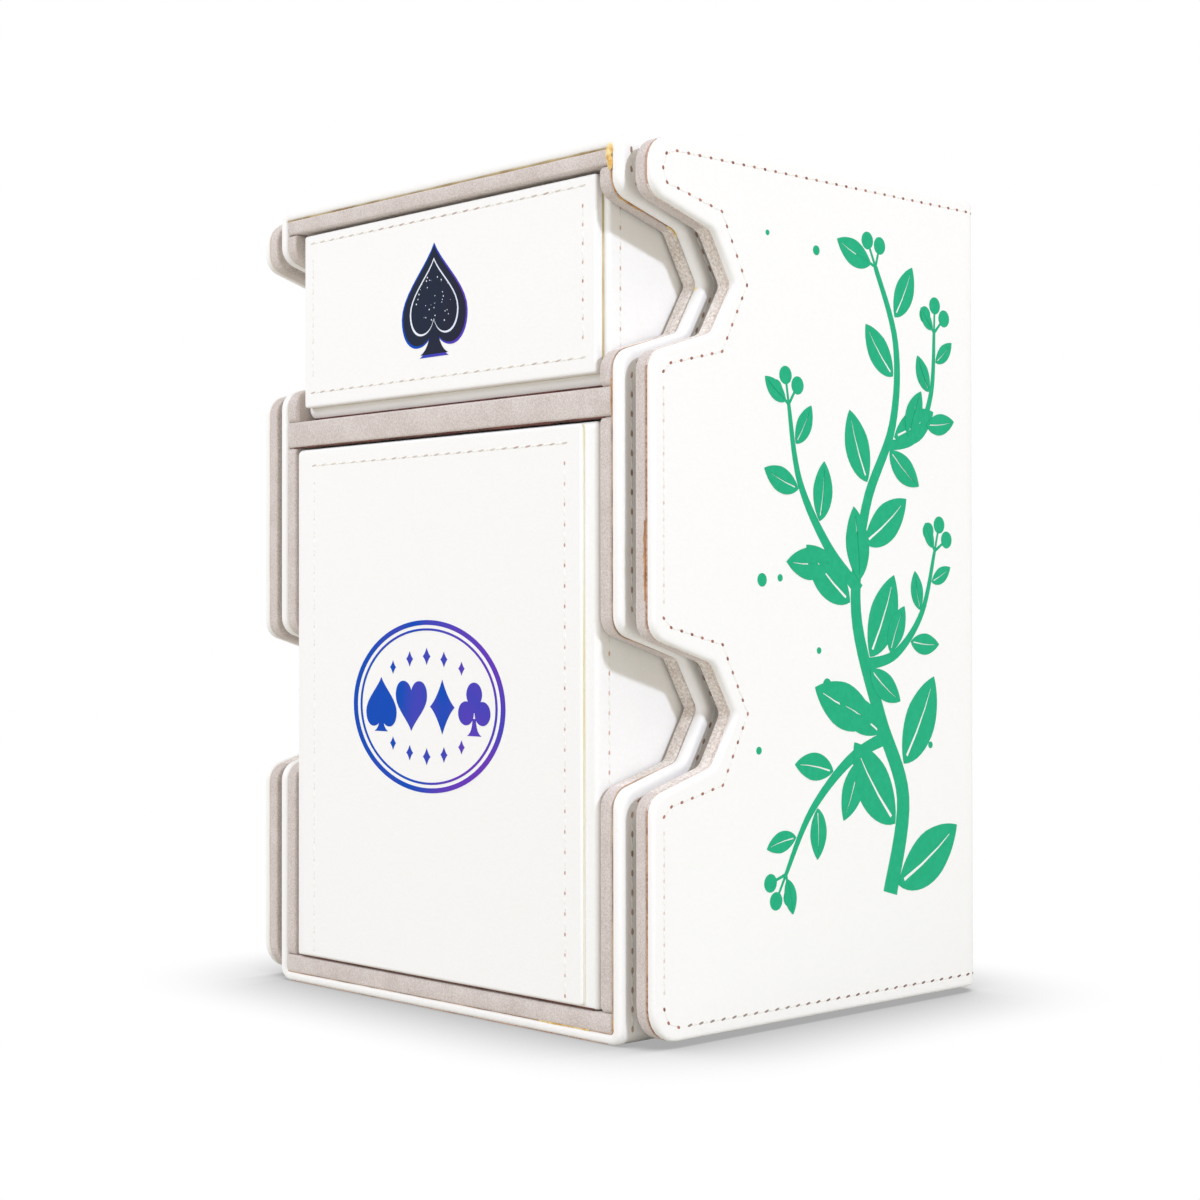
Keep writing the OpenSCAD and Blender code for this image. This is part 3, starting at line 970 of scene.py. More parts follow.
def grow(name: str, tree: Tree, runs: Iterable[Run], values: dict[str, object]) -> Piece:
    """Runs a geometry tree along paths and keeps its result as a plain mesh.

    Args:
        name: The piece's name.
        tree: The tree, which reads the runs as edges with a facing attribute.
        runs: Each run's points in millimetres, and the way that its surface faces.
        values: The tree's inputs by name.

    Returns:
        The piece.
    """
    points: list[Vector] = []
    edges: list[tuple[int, int]] = []
    facing: list[float] = []
    for run, normal in runs:
        first = len(points)
        points += [Vector(point) * MM for point in run]
        edges += [(first + i, first + i + 1) for i in range(len(run) - 1)]
        facing += list(normal) * len(run)
    host = bpy.data.meshes.new(name + "_path")
    host.from_pydata(points, edges, [])
    host.attributes.new("facing", "FLOAT_VECTOR", "POINT").data.foreach_set("vector", facing)
    piece = link_object(name, host)
    modifier = piece.modifiers.new("row", "NODES")
    modifier.node_group = tree
    for item in tree.interface.items_tree:
        if item.in_out == "INPUT" and item.name in values:
            modifier[item.identifier] = values[item.name]
    made = bpy.data.meshes.new_from_object(piece.evaluated_get(bpy.context.evaluated_depsgraph_get()))
    piece.modifiers.clear()
    piece.data = made
    bpy.data.meshes.remove(host)
    made.name = name
    if "facing" in made.attributes:
        made.attributes.remove(made.attributes["facing"])
    made.shade_smooth()
    return piece


@dataclass(frozen=True)
class Stitching:
    """The sizes of a row of lockstitches, whose white thread sinks in so that the needle holes show more."""

    pitch: float
    hole: Point3                            # a hole's length, width and height
    hole_finish: Finish
    hole_slant: float = 0.0                 # degrees that each hole leans
    thread_width: float = 0.38
    thread_height: float = 0.16
    thread_slant: float = 6.0
    thread_gap: float = 0.6                 # bare leather between the ends of two threads

    def sew(self, name: str, runs: Iterable[Run]) -> Piece:
        """Sews rows along runs.

        Args:
            name: The piece's name.
            runs: The runs of points, each with the way that its surface faces.

        Returns:
            The piece.
        """
        thread = (self.pitch - self.thread_gap, self.thread_width, self.thread_height)
        values: dict[str, object] = {"Pitch": self.pitch * MM}
        for part, (length, width, height), slant in (
            ("Thread", thread, self.thread_slant), ("Hole", self.hole, self.hole_slant)
        ):
            values |= {
                f"{part} length": length * MM,
                f"{part} width": width * MM,
                f"{part} height": height * MM,
                f"{part} slant": math.radians(slant),
            }
        values |= {"Thread finish": THREAD.material(), "Hole finish": self.hole_finish.material()}
        tree = bpy.data.node_groups.get("lockstitch_row") or stitch_tree()
        return grow(name, tree, runs, values)


# Notches and heads of the cover: plain round holes
COVER_STITCHES = Stitching(2.85, (0.85, 0.6, 0.12), NEEDLE_HOLE)
# Upright front edges of the cover: the holes are nearly closed
FRONT_STITCHES = Stitching(2.85, (0.75, 0.5, 0.1), PALE_HOLE)
# Foot of the cover: the needle went in aslant
FOOT_STITCHES = Stitching(2.85, (1.3, 0.48, 0.12), GREY_HOLE, hole_slant=14.0)
# Rows on the case's walls
WALL_STITCHES = Stitching(3.5, (1.3, 0.6, 0.12), WALL_HOLE)
# Rows on the units' sides
SIDE_STITCHES = Stitching(3.5, (0.95, 0.45, 0.1), SIDE_HOLE)
# Level rows on the front panels: long slanting stitches, drawn tight, whose long beige hole marks are painted
# shade of the thread
DASH_STITCHES = Stitching(3.3, (1.8, 0.4, 0.1), DASH_PAINTED_SHADE, hole_slant=7.0)
# Upright rows on the front panels
COLUMN_STITCHES = Stitching(3.6, (0.8, 0.5, 0.1), COLUMN_HOLE)
FAINT_STITCHES = Stitching(3.6, (0.7, 0.4, 0.08), FAINT_HOLE)


def sew_on(piece: Piece, body: str) -> None:
    """Makes a finished row ride on a body."""
    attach(piece, body)
    log.info("%s sewn on %s, %d faces", piece.name, body, len(piece.data.polygons))


def runs_between(points: Sequence[Point2], breaks: Sequence[Point2]) -> list[list[Point2]]:
    """Cuts a path into runs at the given points, which end one run and start the next."""
    runs: list[list[Point2]] = [[]]
    for point in points:
        runs[-1].append(point)
        if any(math.dist(point, cut) < TOUCH for cut in breaks):
            runs.append([point])
    return [run for run in runs if len(run) > 1]


def shortened(run: Sequence[Point2], at_start: float, at_end: float) -> list[Point2]:
    """A run whose first and last legs give up a length, where another row has the hole."""
    first, second, before, last = (Vector(run[i]) for i in (0, 1, -2, -1))
    start = first + (second - first).normalized() * at_start
    end = last + (before - last).normalized() * at_end
    return [tuple(start), *run[1:-1], tuple(end)]


# ---- The case ----


@dataclass
class CaseShell:
    """The leather-wrapped case: one sheet of leather round its walls, turned in at the front and notches."""

    half_width: float
    height: float
    front: float
    back: float
    wall: float
    base: float                 # the thinner wall under the box
    corner_radius: float = 3.0
    leather: float = 0.68
    outer_rim: float = 1.1
    inner_rim: float = 0.9
    turn_in: float = 8.0        # how far the turned-in leather reaches back inside
    skived: float = 0.05        # its thickness where it ends
    seam_inset: float = 2.7
    seam_half: float = 0.6      # half the width of the groove that the row draws in
    seam_depth: float = 0.13
    row_depth: float = 0.06     # how deep the row's middles lie
    rim_flat: float = 0.3       # flat beside the rim, which keeps its shading even

    @classmethod
    def from_frame(cls) -> "CaseShell":
        """Takes the shell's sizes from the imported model."""
        low, high = box_mm("case_wrap")
        return cls(
            half_width=high.x, height=high.z, front=low.y, back=high.y,
            wall=high.z - box_mm("top_liner")[1].z, base=box_mm("bottom_liner")[0].z)

    @property
    def flat(self) -> float:
        """Half the flat width of the top or base, between its rounded corners."""
        return self.half_width - self.corner_radius

    @property
    def rise(self) -> float:
        """The flat height of a side wall."""
        return self.height - 2 * self.corner_radius

    @property
    def bend(self) -> float:
        """The length of leather round one corner."""
        return self.corner_radius * math.pi / 2

    def at(self, run: float, depth: float, inward: float) -> Point3:
        """Bends the unrolled sheet round the case.

        Args:
            run: Distance round the outside, from the middle of the base to the right and up.
            depth: Place along Y.
            inward: Distance in from the outer face, drawn in where the wall thins towards the base.

        Returns:
            The place in millimetres.
        """
        lengths = [self.flat, self.bend, self.rise, self.bend, 2 * self.flat, self.bend, self.rise, self.bend]
        starts = [sum(lengths[:i]) for i in range(len(lengths) + 1)]
        part = max(i for i, start in enumerate(starts) if run >= start - TOUCH / 1000)
        along = run - starts[part]
        rise = {0: 0.0, 1: along / self.bend, 7: 1 - along / self.bend, 8: 0.0}.get(part, 1.0)
        inward *= (self.base + (self.wall - self.base) * rise) / self.wall
        r, w, h = self.corner_radius, self.half_width, self.height
        flats = {
            0: (along, inward),
            2: (w - inward, r + along),
            4: (w - r - along, h - inward),
            6: (-w + inward, h - r - along),
            8: (-w + r + along, inward),
        }
        if part in flats:
            x, z = flats[part]
        else:
            centre_x, centre_z, start = {
                1: (w - r, r, -90), 3: (w - r, h - r, 0), 5: (r - w, h - r, 90), 7: (r - w, r, 180)
            }[part]
            angle = math.radians(start + 90 * along / self.bend)
            x = centre_x + (r - inward) * math.cos(angle)
            z = centre_z + (r - inward) * math.sin(angle)
        return (x, depth, z)

    def edge(self, notch: Notch, notch_heights: Sequence[float]) -> Outline:
        """The sheet's front edge, unrolled.

        Args:
            notch: The finger notch.
            notch_heights: The heights of the notches' middles.

        Returns:
            The open outline, with runs as 'across' and depths as 'up'.
        """
        side = self.flat + self.bend                    # where the right wall's flat starts
        top = side + self.rise + self.bend              # where the top's flat starts
        right_foot = side - self.corner_radius
        left_foot = top + 2 * self.flat + self.bend + self.height - self.corner_radius
        right, left = [], []
        for height in sorted(notch_heights):
            found = notch.corners(self.front, height, upwards=True)
            right += [Corner(right_foot + c.up, c.across, c.radius) for c in found]
        for height in sorted(notch_heights, reverse=True):
            found = notch.corners(self.front, height)
            left += [Corner(left_foot - c.up, c.across, c.radius) for c in found]
        end = 2 * (top + self.flat)
        return Outline((
            Corner(-1.0, self.front),
            Corner(0.0, self.front),
            *self._bend_stations(self.flat),
            *right,
            *self._bend_stations(side + self.rise),
            *self._bend_stations(top + 2 * self.flat),
            *left,
            *self._bend_stations(end - self.flat - self.bend),
            Corner(end + 1.0, self.front),
        ), closed=False)

    def _bend_stations(self, start: float) -> list[Corner]:
        """Corners that carry the sheet round one bend of the case."""
        return [Corner(start + self.bend * step / ARC_STEPS, self.front) for step in range(ARC_STEPS + 1)]

    def section(self) -> list[tuple[float | None, float]]:
        """The leather's section as (inset, distance inward), from the back round the rim and inside it."""
        outer, inner, wall, thick = self.outer_rim, self.inner_rim, self.wall, self.leather
        seam, half, end = self.seam_inset, self.seam_half, self.wall - self.skived
        found: list[tuple[float | None, float]] = [(None, 0.0), (seam + half, 0.0), (seam, self.seam_depth)]
        found += [(seam - half, 0.0), (outer + self.rim_flat, 0.0)]
        found += arc_profile((outer, outer), outer, 270, 180)
        found += arc_profile((inner, wall - inner), inner, 180, 90)
        found += [(self.turn_in, wall), (self.turn_in, end), (thick, end), (thick, thick), (None, thick)]
        return found

    def build(self, notch: Notch, notch_heights: Sequence[float]) -> Piece:
        """Makes the wrapped leather.

        Args:
            notch: The finger notch.
            notch_heights: The heights of the notches' middles.

        Returns:
            The piece.
        """
        edge = self.edge(notch, notch_heights)
        section = self.section()
        widest = max(inset for inset, _ in section if inset is not None)
        points: list[Point3] = []
        for inset, inward in section:
            ring = edge.inset(widest if inset is None else inset).points()
            points += [self.at(run, self.back if inset is None else depth, inward) for run, depth in ring]
        size = len(points) // len(section)
        faces = ring_faces(len(section), size, stacked=True)
        piece = make_piece("case_leather", points, faces, [PU_LEATHER])
        settle(piece, "case_wrap", "base_wrap")
        return piece

    def sew(self, notch: Notch, notch_heights: Sequence[float]) -> None:
        """Sews the row behind the front edge, up both walls and over the top."""
        path = self.edge(notch, notch_heights).inset(self.seam_inset)
        right = (self.flat + self.bend, self.flat + self.bend + self.rise)
        top = (right[1] + self.bend, right[1] + self.bend + 2 * self.flat)
        left = (top[1] + self.bend, top[1] + self.bend + self.rise)
        points, hollows = path.points(keep_sharp=True), path.hollows()
        runs = []
        for (low, high), normal in ((right, (1, 0, 0)), (top, (0, 0, 1)), (left, (-1, 0, 0))):
            part = [point for point in points if low - TOUCH <= point[0] <= high + TOUCH]
            for run in runs_between(part, hollows):
                runs.append(([self.at(u, v, self.row_depth) for u, v in run], normal))
        sew_on(WALL_STITCHES.sew("case_stitches", runs), "case")


@dataclass
class BayLining:
    """The microfibre-covered boards that line both bays, with the shelf between them."""

    notch: Notch
    notch_heights: tuple[float, float]      # lower, upper
    rim_radius: float = 0.45
    front_radius: float = 1.2
    back_radius: float = 0.4

    def side_liner(self, level: str, side: Side) -> None:
        """Makes one side liner, with the notch cut through its front edge."""
        node = f"{level}_{side.word}_liner"
        low, high = box_mm(node)
        middle = self.notch_heights[0 if level == "lower" else 1]
        outline = Outline((
            Corner(low.y, low.z, self.front_radius),
            Corner(high.y, low.z, self.back_radius),
            Corner(high.y, high.z, self.back_radius),
            Corner(low.y, high.z, self.front_radius),
            *replace(self.notch, inner_radius=1.4, point_radius=0.8).corners(low.y, middle),
        ))
        outer = max(abs(low.x), abs(high.x))
        rim = Rim(thickness=high.x - low.x, back_radius=self.rim_radius, face_radius=self.rim_radius)
        piece = slab(
            node + "_soft", outline, rim,
            lambda across, up, height: (side.value * (outer - height), across, up),
            [MICROFIBRE, CUT_MICROFIBRE],
            in_notch=self.notch.cuts(low.y, [middle]),
        )
        settle(piece, node)

    def build(self) -> None:
        """Makes every board of the lining."""
        for level in ("lower", "upper"):
            for side in Side:
                self.side_liner(level, side)
            replace_board(f"{level}_back_liner", self.rim_radius, MICROFIBRE)
        for node in ("top_liner", "bottom_liner", "divider_shelf"):
            replace_board(node, self.rim_radius, MICROFIBRE)


@dataclass
class SeamGlue:
    """Dried glue in the seam between the liners and the leather, with a blob in the top right corner."""

    shell: CaseShell
    notch: Notch
    notch_heights: tuple[float, float]
    bead_radius: float = 0.15
    run_radius: float = 0.24    # where more glue has been pressed out
    edge_radius: float = 0.12   # of the leather's cut edge under the base
    behind_rim: float = 0.4
    clear: float = 0.2          # between the ends of the upright bead and the level ones
    sunk: float = 0.7           # how much deeper it lies inside the notches
    rim_depth: float = 4.5      # how far behind the front the insides of the notches start
    step: float = 0.8
    level_steps: int = 12       # in half a level line
    foot_run: tuple[float, ...] = (0.6, 0.67, 0.74, 0.81, 0.88)     # yellow glue, as shares of the wall's X
    blobs: tuple[tuple[Point3, Point3], ...] = (    # place from the top right corner, and half sizes
        ((-0.35, -0.45, -1.0), (0.62, 0.3, 1.4)),
        ((0.15, -0.4, -0.2), (0.45, 0.3, 0.9)),
        ((-0.1, -0.4, -2.6), (0.55, 0.3, 1.2)),
    )

    def upright(self, wall_x: float, sunk: float) -> list[Point3]:
        """The line that the glue follows up the right side. None shows on the left.

        Args:
            wall_x: The X of the seam.
            sunk: How much deeper the line lies inside the notches.

        Returns:
            The line's points.
        """
        front = self.shell.front
        notches = [
            corner for height in sorted(self.notch_heights)
            for corner in self.notch.corners(front, height, upwards=True)
        ]
        ends = Corner(front, -1.0), Corner(front, self.shell.height + 1.0)
        outline = Outline((ends[0], *notches, ends[1]), closed=False)
        low, high = self.shell.base + self.clear, self.shell.height - self.shell.wall - self.clear
        inside = front + self.rim_depth
        return [
            (wall_x, depth + self.behind_rim + (sunk if depth > inside else 0.0), height)
            for depth, height in [(front, low), *outline.points(), (front, high)]
        ]

    def level(self, reach: float, depth: float, height: float) -> list[Point3]:
        """A level line from side to side at a depth and height."""
        steps = self.level_steps
        return [(reach * (index / steps), depth, height) for index in range(-steps, steps + 1)]

    def build(self) -> None:
        """Lays the beads of glue and the blobs, the cut edge of the leather under the base, and a dark line
        of painted shade under the shelf's front edge.
        """
        wall_x = self.shell.half_width - self.shell.wall
        base, top = self.shell.base, self.shell.height - self.shell.wall
        front = self.shell.front + self.behind_rim
        shelf_low, shelf_high = (corner.z for corner in box_mm("divider_shelf"))
        upper = max(self.notch_heights)
        waist = upper + self.notch.waist
        upright = self.upright(wall_x, self.sunk)
        browned = [self.stretch(upright, *ends) for ends in (
            (waist + 2.5, top - 3.6), (shelf_low - 0.5, shelf_high + 1.5), (base, base + 3.0))]
        yellow = [
            self.stretch(self.upright(wall_x, 0.0), waist - 1.6, waist + 0.8),
            [(wall_x * share, front - 0.1, base) for share in self.foot_run],
        ]
        for name, runs, radius, finish in (
            ("seam_glue", [upright, self.level(wall_x, front, base)], self.bead_radius, SEAM_GLUE),
            ("top_seam_glue", [self.level(wall_x, front - 0.1, top)], self.run_radius, TOP_GLUE),
            # painted shade: a dark line under the shelf's front edge, where the gap above the tray is only
            # shade
            ("shelf_backing", [self.level(0.96 * wall_x, self.shell.front + 0.5, shelf_low - 0.08)],
             self.run_radius, PAINTED_CREVICE_SHADE),
            ("browned_glue", browned, self.run_radius, OLD_GLUE),
            ("yellow_glue", yellow, self.run_radius, GLUE),
            ("base_cut_edge", [self.level(self.shell.flat - 1.0, self.shell.front + 0.45, 0.16)],
             self.edge_radius, RAW_EDGE),
        ):
            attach(tube(name, runs, radius, finish, wander=0.4), "case")
            log.info("%s laid along %d seams", name, len(runs))
        blobs = [((wall_x + x, front + y, top + z), half) for (x, y, z), half in self.blobs]
        blobs.append(((wall_x + 0.9, front + 20.2, upper - 0.9), (0.3, 0.3, 0.42)))
        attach(blob_cluster("corner_glue", blobs, GLUE), "case")

    def stretch(self, line: Sequence[Point3], low: float, high: float) -> list[Point3]:
        """The part of an upright line between two heights, in short uneven steps.

        Args:
            line: The whole line.
            low: The height where the part starts.
            high: The height where it ends.

        Returns:
            The part's points.
        """
        found = []
        for first, second in zip(line, line[1:]):
            steps = max(1, round(math.dist(first, second) / self.step))
            for number in range(steps):
                point = Vector(first).lerp(Vector(second), number / steps)
                if low <= point.z <= high:
                    found.append(tuple(point))
        return found


def tube(
    name: str, lines: Sequence[Sequence[Point3]], radius: float, finish: Finish, wander: float = 0.0
) -> Piece:
    """Thin six-sided beads along lines, thicker and thinner by turns.

    Args:
        name: The piece's name.
        lines: The points of each line in millimetres.
        radius: The bead's usual radius.
        finish: Its finish.
        wander: How much the radius changes, as a share.

    Returns:
        The piece.
    """
    chance = random.Random(7)
    points: list[Point3] = []
    faces: list[Face] = []
    sides = 6
    for line in lines:
        places = [Vector(point) for point in line]
        rings = []
        for i, place in enumerate(places):
            ahead = (places[min(i + 1, len(places) - 1)] - places[max(i - 1, 0)]).normalized()
            across = ahead.orthogonal() if abs(ahead.x) > 0.5 else ahead.cross(Vector((1, 0, 0)))
            first = across.normalized()
            second = ahead.cross(first)
            size = radius * (1 + wander * chance.uniform(-1, 1))
            angles = [math.tau * k / sides for k in range(sides)]
            rings.append([tuple(place + (first * math.cos(a) + second * math.sin(a)) * size) for a in angles])
        more_points, more_faces = loft(rings, len(points))
        points += more_points
        faces += more_faces
    return make_piece(name, points, faces, [finish])


def blob_cluster(name: str, blobs: Sequence[tuple[Point3, Point3]], finish: Finish) -> Piece:
    """Lumps of dried glue, each an uneven ball.

    Args:
        name: The piece's name.
        blobs: Each lump's middle and its half sizes in millimetres.
        finish: The finish.

    Returns:
        The piece.
    """
    chance = random.Random(11)
    unevenness = 0.22
    work = bmesh.new()
    for middle, half in blobs:
        made = bmesh.ops.create_icosphere(work, subdivisions=3, radius=1.0)["verts"]
        lumps = [Vector([chance.uniform(-1, 1) for _ in range(3)]).normalized() for _ in range(5)]
        for vertex in made:
            swell = 1 + unevenness * max(vertex.co.normalized().dot(lump) for lump in lumps)
            vertex.co = Vector([middle[i] + vertex.co[i] * half[i] * swell for i in range(3)]) * MM
    piece = new_piece(name, work, finish)
    piece.data.shade_smooth()
    return piece


# ---- The outer cover ----


@dataclass
class OuterCover:
    """The cover that wraps the back: a glued back panel, two leather hinges and two notched wings."""

    notch: Notch
    notch_heights: tuple[float, float]      # lower, upper, of the walls' notches
    wing_corner_radius: float = 6.0
    seam_inset: float = 2.5
    seam_spread: float = 1.1    # how much wider than the notch's waist the row round it turns
    skin_rim: Rim = Rim(thickness=2.0, back_radius=0.15, face_radius=0.75, raw=0.35)
    lining_rim: Rim = Rim(thickness=2.6, back_radius=0.45, face_radius=0.3)

    def __post_init__(self) -> None:
        low, high = box_mm("right_wing_skin")
        self.front, self.hinge_y = low.y, high.y
        self.low_z, self.high_z = low.z, high.z
        self.skin_x, self.outer_x = low.x, high.x
        self.inner_x = box_mm("right_wing_board")[0].x
        back_low, back_high = box_mm("cover_back_skin")
        self.hinge_x, self.outer_y = back_high.x, back_high.y
        self.skin_y = back_low.y

    @property
    def wing_notches(self) -> list[float]:
        """The heights of the wings' notches, highest first."""
        return [height - self.notch.wing_drop for height in sorted(self.notch_heights, reverse=True)]

    def wing_outline(self, notch: Notch) -> Outline:
        """A wing's side view with a notch in it, whose back edge runs straight into the hinge leather."""
        corners = [
            Corner(self.front, self.low_z, self.wing_corner_radius),
            Corner(self.hinge_y, self.low_z, rim=False),
            Corner(self.hinge_y, self.high_z),
            Corner(self.front, self.high_z, self.wing_corner_radius),
        ]
        for height in self.wing_notches:
            corners += notch.corners(self.front, height)
        return Outline(tuple(corners))

    def wing(self, side: Side) -> None:
        """Makes one wing: its lined board and its leather skin."""
        outline = self.wing_outline(self.notch)
        reach = self.notch.mouth + 1.5
        raw = [RAW_EDGE, PALE_EDGE] if side is Side.RIGHT else [WHITE_EDGE, WHITE_EDGE]
        skin = slab(
            f"{side.word}_wing_leather", outline, self.skin_rim,
            lambda across, up, height: (side.value * (self.skin_x + height), across, up),
            [PU_LEATHER, *raw],
            in_notch=lambda point: any(abs(point[2] - height) < reach for height in self.wing_notches),
        )
        settle(skin, f"{side.word}_wing_skin")
        lining = slab(
            f"{side.word}_wing_lining", outline, self.lining_rim,
            lambda across, up, height: (side.value * (self.inner_x + height), across, up),
            [MICROFIBRE, CUT_MICROFIBRE],
            in_notch=self.notch.cuts(self.front, self.wing_notches),
        )
        settle(lining, f"{side.word}_wing_board")

    def strip(self, name: str, stations: Sequence[tuple[Point2, Point2]]) -> Piece:
        """Carries the skin's section along a path seen from above.

        Args:
            name: The piece's name.
            stations: Places on the skin's inner face as (x, y), each with the way out of it.

        Returns:
            The piece.
        """
        half = self.skin_rim.section()
        loop = [(self.low_z + inset, height) for inset, height in half]
        loop += [(self.high_z - inset, height) for inset, height in reversed(half)]
        points, faces = loft([
            [(x + out_x * height, y + out_y * height, z) for z, height in loop]
            for (x, y), (out_x, out_y) in stations
        ])
        size = len(loop)
        raw = [
            int(i < size - 1 and self.skin_rim.is_raw(max(loop[i][1], loop[(i + 1) % size][1])))
            for i in range(size)
        ]
        chosen = [raw[number % size] for number in range(len(faces) - 2)]
        return make_piece(name, points, faces, [PU_LEATHER, RAW_EDGE], chosen + [0, 0])

    def back(self) -> None:
        """Makes the back panel's leather and lined board."""
        reach = [-self.hinge_x, -self.hinge_x / 2, 0.0, self.hinge_x / 2, self.hinge_x]
        skin = self.strip("cover_back_leather", [((x, self.skin_y), (0.0, 1.0)) for x in reach])
        settle(skin, "cover_back_skin")
        replace_board("cover_back_board", 0.5, MICROFIBRE)

    def hinge_path(self, side: Side, radius: float, steps: int) -> list[tuple[Point2, Point2]]:
        """Places round the hinge at a radius, from the back panel to the wing, each with the way out."""
        found = []
        for step in range(steps + 1):
            angle = math.radians(90 - 90 * step / steps)
            out = (side.value * math.cos(angle), math.sin(angle))
            place = (side.value * self.hinge_x + out[0] * radius, self.hinge_y + out[1] * radius)
            found.append((place, out))
        return found

    def hinge(self, side: Side) -> None:
        """Makes one hinge's leather and its stitches, curved round the hinge between the back panel and the
        wing.
        """
        inner_radius = self.skin_y - self.hinge_y
        leather = self.strip(f"{side.word}_hinge_leather_soft", self.hinge_path(side, inner_radius, 20))
        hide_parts(f"{side.word}_hinge_leather")
        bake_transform(leather)
        outer_radius = self.outer_y - self.hinge_y
        bend = self.hinge_path(side, outer_radius - SEWN_DEPTH, 12)[4:9]
        out = bend[len(bend) // 2][1]
        for word, height, stitching in self.level_rows():
            run = [(place[0], place[1], height) for place, _ in bend]
            stitches = stitching.sew(f"{side.word}_hinge_{word}_stitches", [(run, (out[0], out[1], 0))])
            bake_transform(stitches)
        log.info("%s hinge bends between the case and the wing", side.word)

    def level_rows(self) -> list[tuple[str, float, Stitching]]:
        """The cover's foot and head rows, each with its height and its look."""
        return [
            ("foot", self.low_z + self.seam_inset, FOOT_STITCHES),
            ("head", self.high_z - self.seam_inset, COVER_STITCHES),
        ]

    def stitching_of(self, first: Point2, second: Point2) -> Stitching:
        """The look of the row along one leg of a wing's path."""
        if math.dist(first, second) > 6.0 and abs(first[0] - second[0]) < 0.1:
            return FRONT_STITCHES
        if max(first[1], second[1]) < self.low_z + self.seam_inset + 0.1:
            return FOOT_STITCHES
        return COVER_STITCHES

    def wing_rows(self) -> dict[Stitching, list[list[Point2]]]:
        """The rows round a wing as runs of (depth, height), by their look."""
        wider = replace(self.notch, waist=self.notch.waist + self.seam_spread)
        path = self.wing_outline(wider).inset(self.seam_inset)
        points = path.points(keep_sharp=True)
        head = (self.hinge_y, self.high_z - self.seam_inset)
        start = next(i for i, point in enumerate(points) if math.dist(point, head) < TOUCH)
        rows: dict[Stitching, list[list[Point2]]] = {}
        for run in runs_between(points[start:] + points[:start], path.hollows()):
            last = None
            for first, second in zip(run, run[1:]):
                stitching = self.stitching_of(first, second)
                if stitching is not last:
                    rows.setdefault(stitching, []).append([first])
                    last = stitching
                rows[stitching][-1].append(second)
        step = FRONT_STITCHES.pitch
        rows[FRONT_STITCHES] = [shortened(run, step, step) for run in rows[FRONT_STITCHES]]
        rows[FOOT_STITCHES] = [shortened(run, FOOT_STITCHES.pitch, 0.0) for run in rows[FOOT_STITCHES]]
        return rows

    def sew(self) -> None:
        """Sews the rows round the wings and along the back panel's top and foot."""
        for side in Side:
            for number, (stitching, rows) in enumerate(self.wing_rows().items()):
                runs = [
                    ([(side.value * (self.outer_x - SEWN_DEPTH), depth, height) for depth, height in row],
                     (side.value, 0, 0))
                    for row in rows
                ]
                sew_on(stitching.sew(f"{side.word}_wing_stitches_{number + 1}", runs), f"{side.word}_wing")
        for word, height, stitching in self.level_rows():
            run = [(x, self.outer_y - SEWN_DEPTH, height) for x in (-self.hinge_x, 0.0, self.hinge_x)]
            sew_on(stitching.sew(f"cover_back_{word}_stitches", [(run, (0, 1, 0))]), "case")

    def browned_edge(self) -> None:
        """Lays the glue that has browned the right wing's front edge above its lower notch."""
        start = self.wing_notches[1] + self.notch.mouth + 3.0
        length, deepest, steps = 20.0, 0.45, 24
        line = []
        for step in range(steps + 1):
            sink = deepest * (1 - math.sin(math.pi * step / steps) ** 0.5)
            line.append((self.skin_x - 0.25, self.front + 0.12 + sink, start + length * step / steps))
        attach(tube("right_wing_browned_edge", [line], 0.28, EDGE_GLUE, wander=0.25), "right_wing")

    def build(self) -> None:
        """Makes the whole cover."""
        self.back()
        for side in Side:
            self.wing(side)
            self.hinge(side)
        self.browned_edge()
        self.sew()


# ---- The drawer and the tray ----


@dataclass(frozen=True)
class PanelRows:
    """How far in from a front panel's edges its rows of stitches run."""

    top: float
    right: float
    left: float
    foot: float
    foot_row: bool              # whether a row runs along the foot, or only the columns reach it


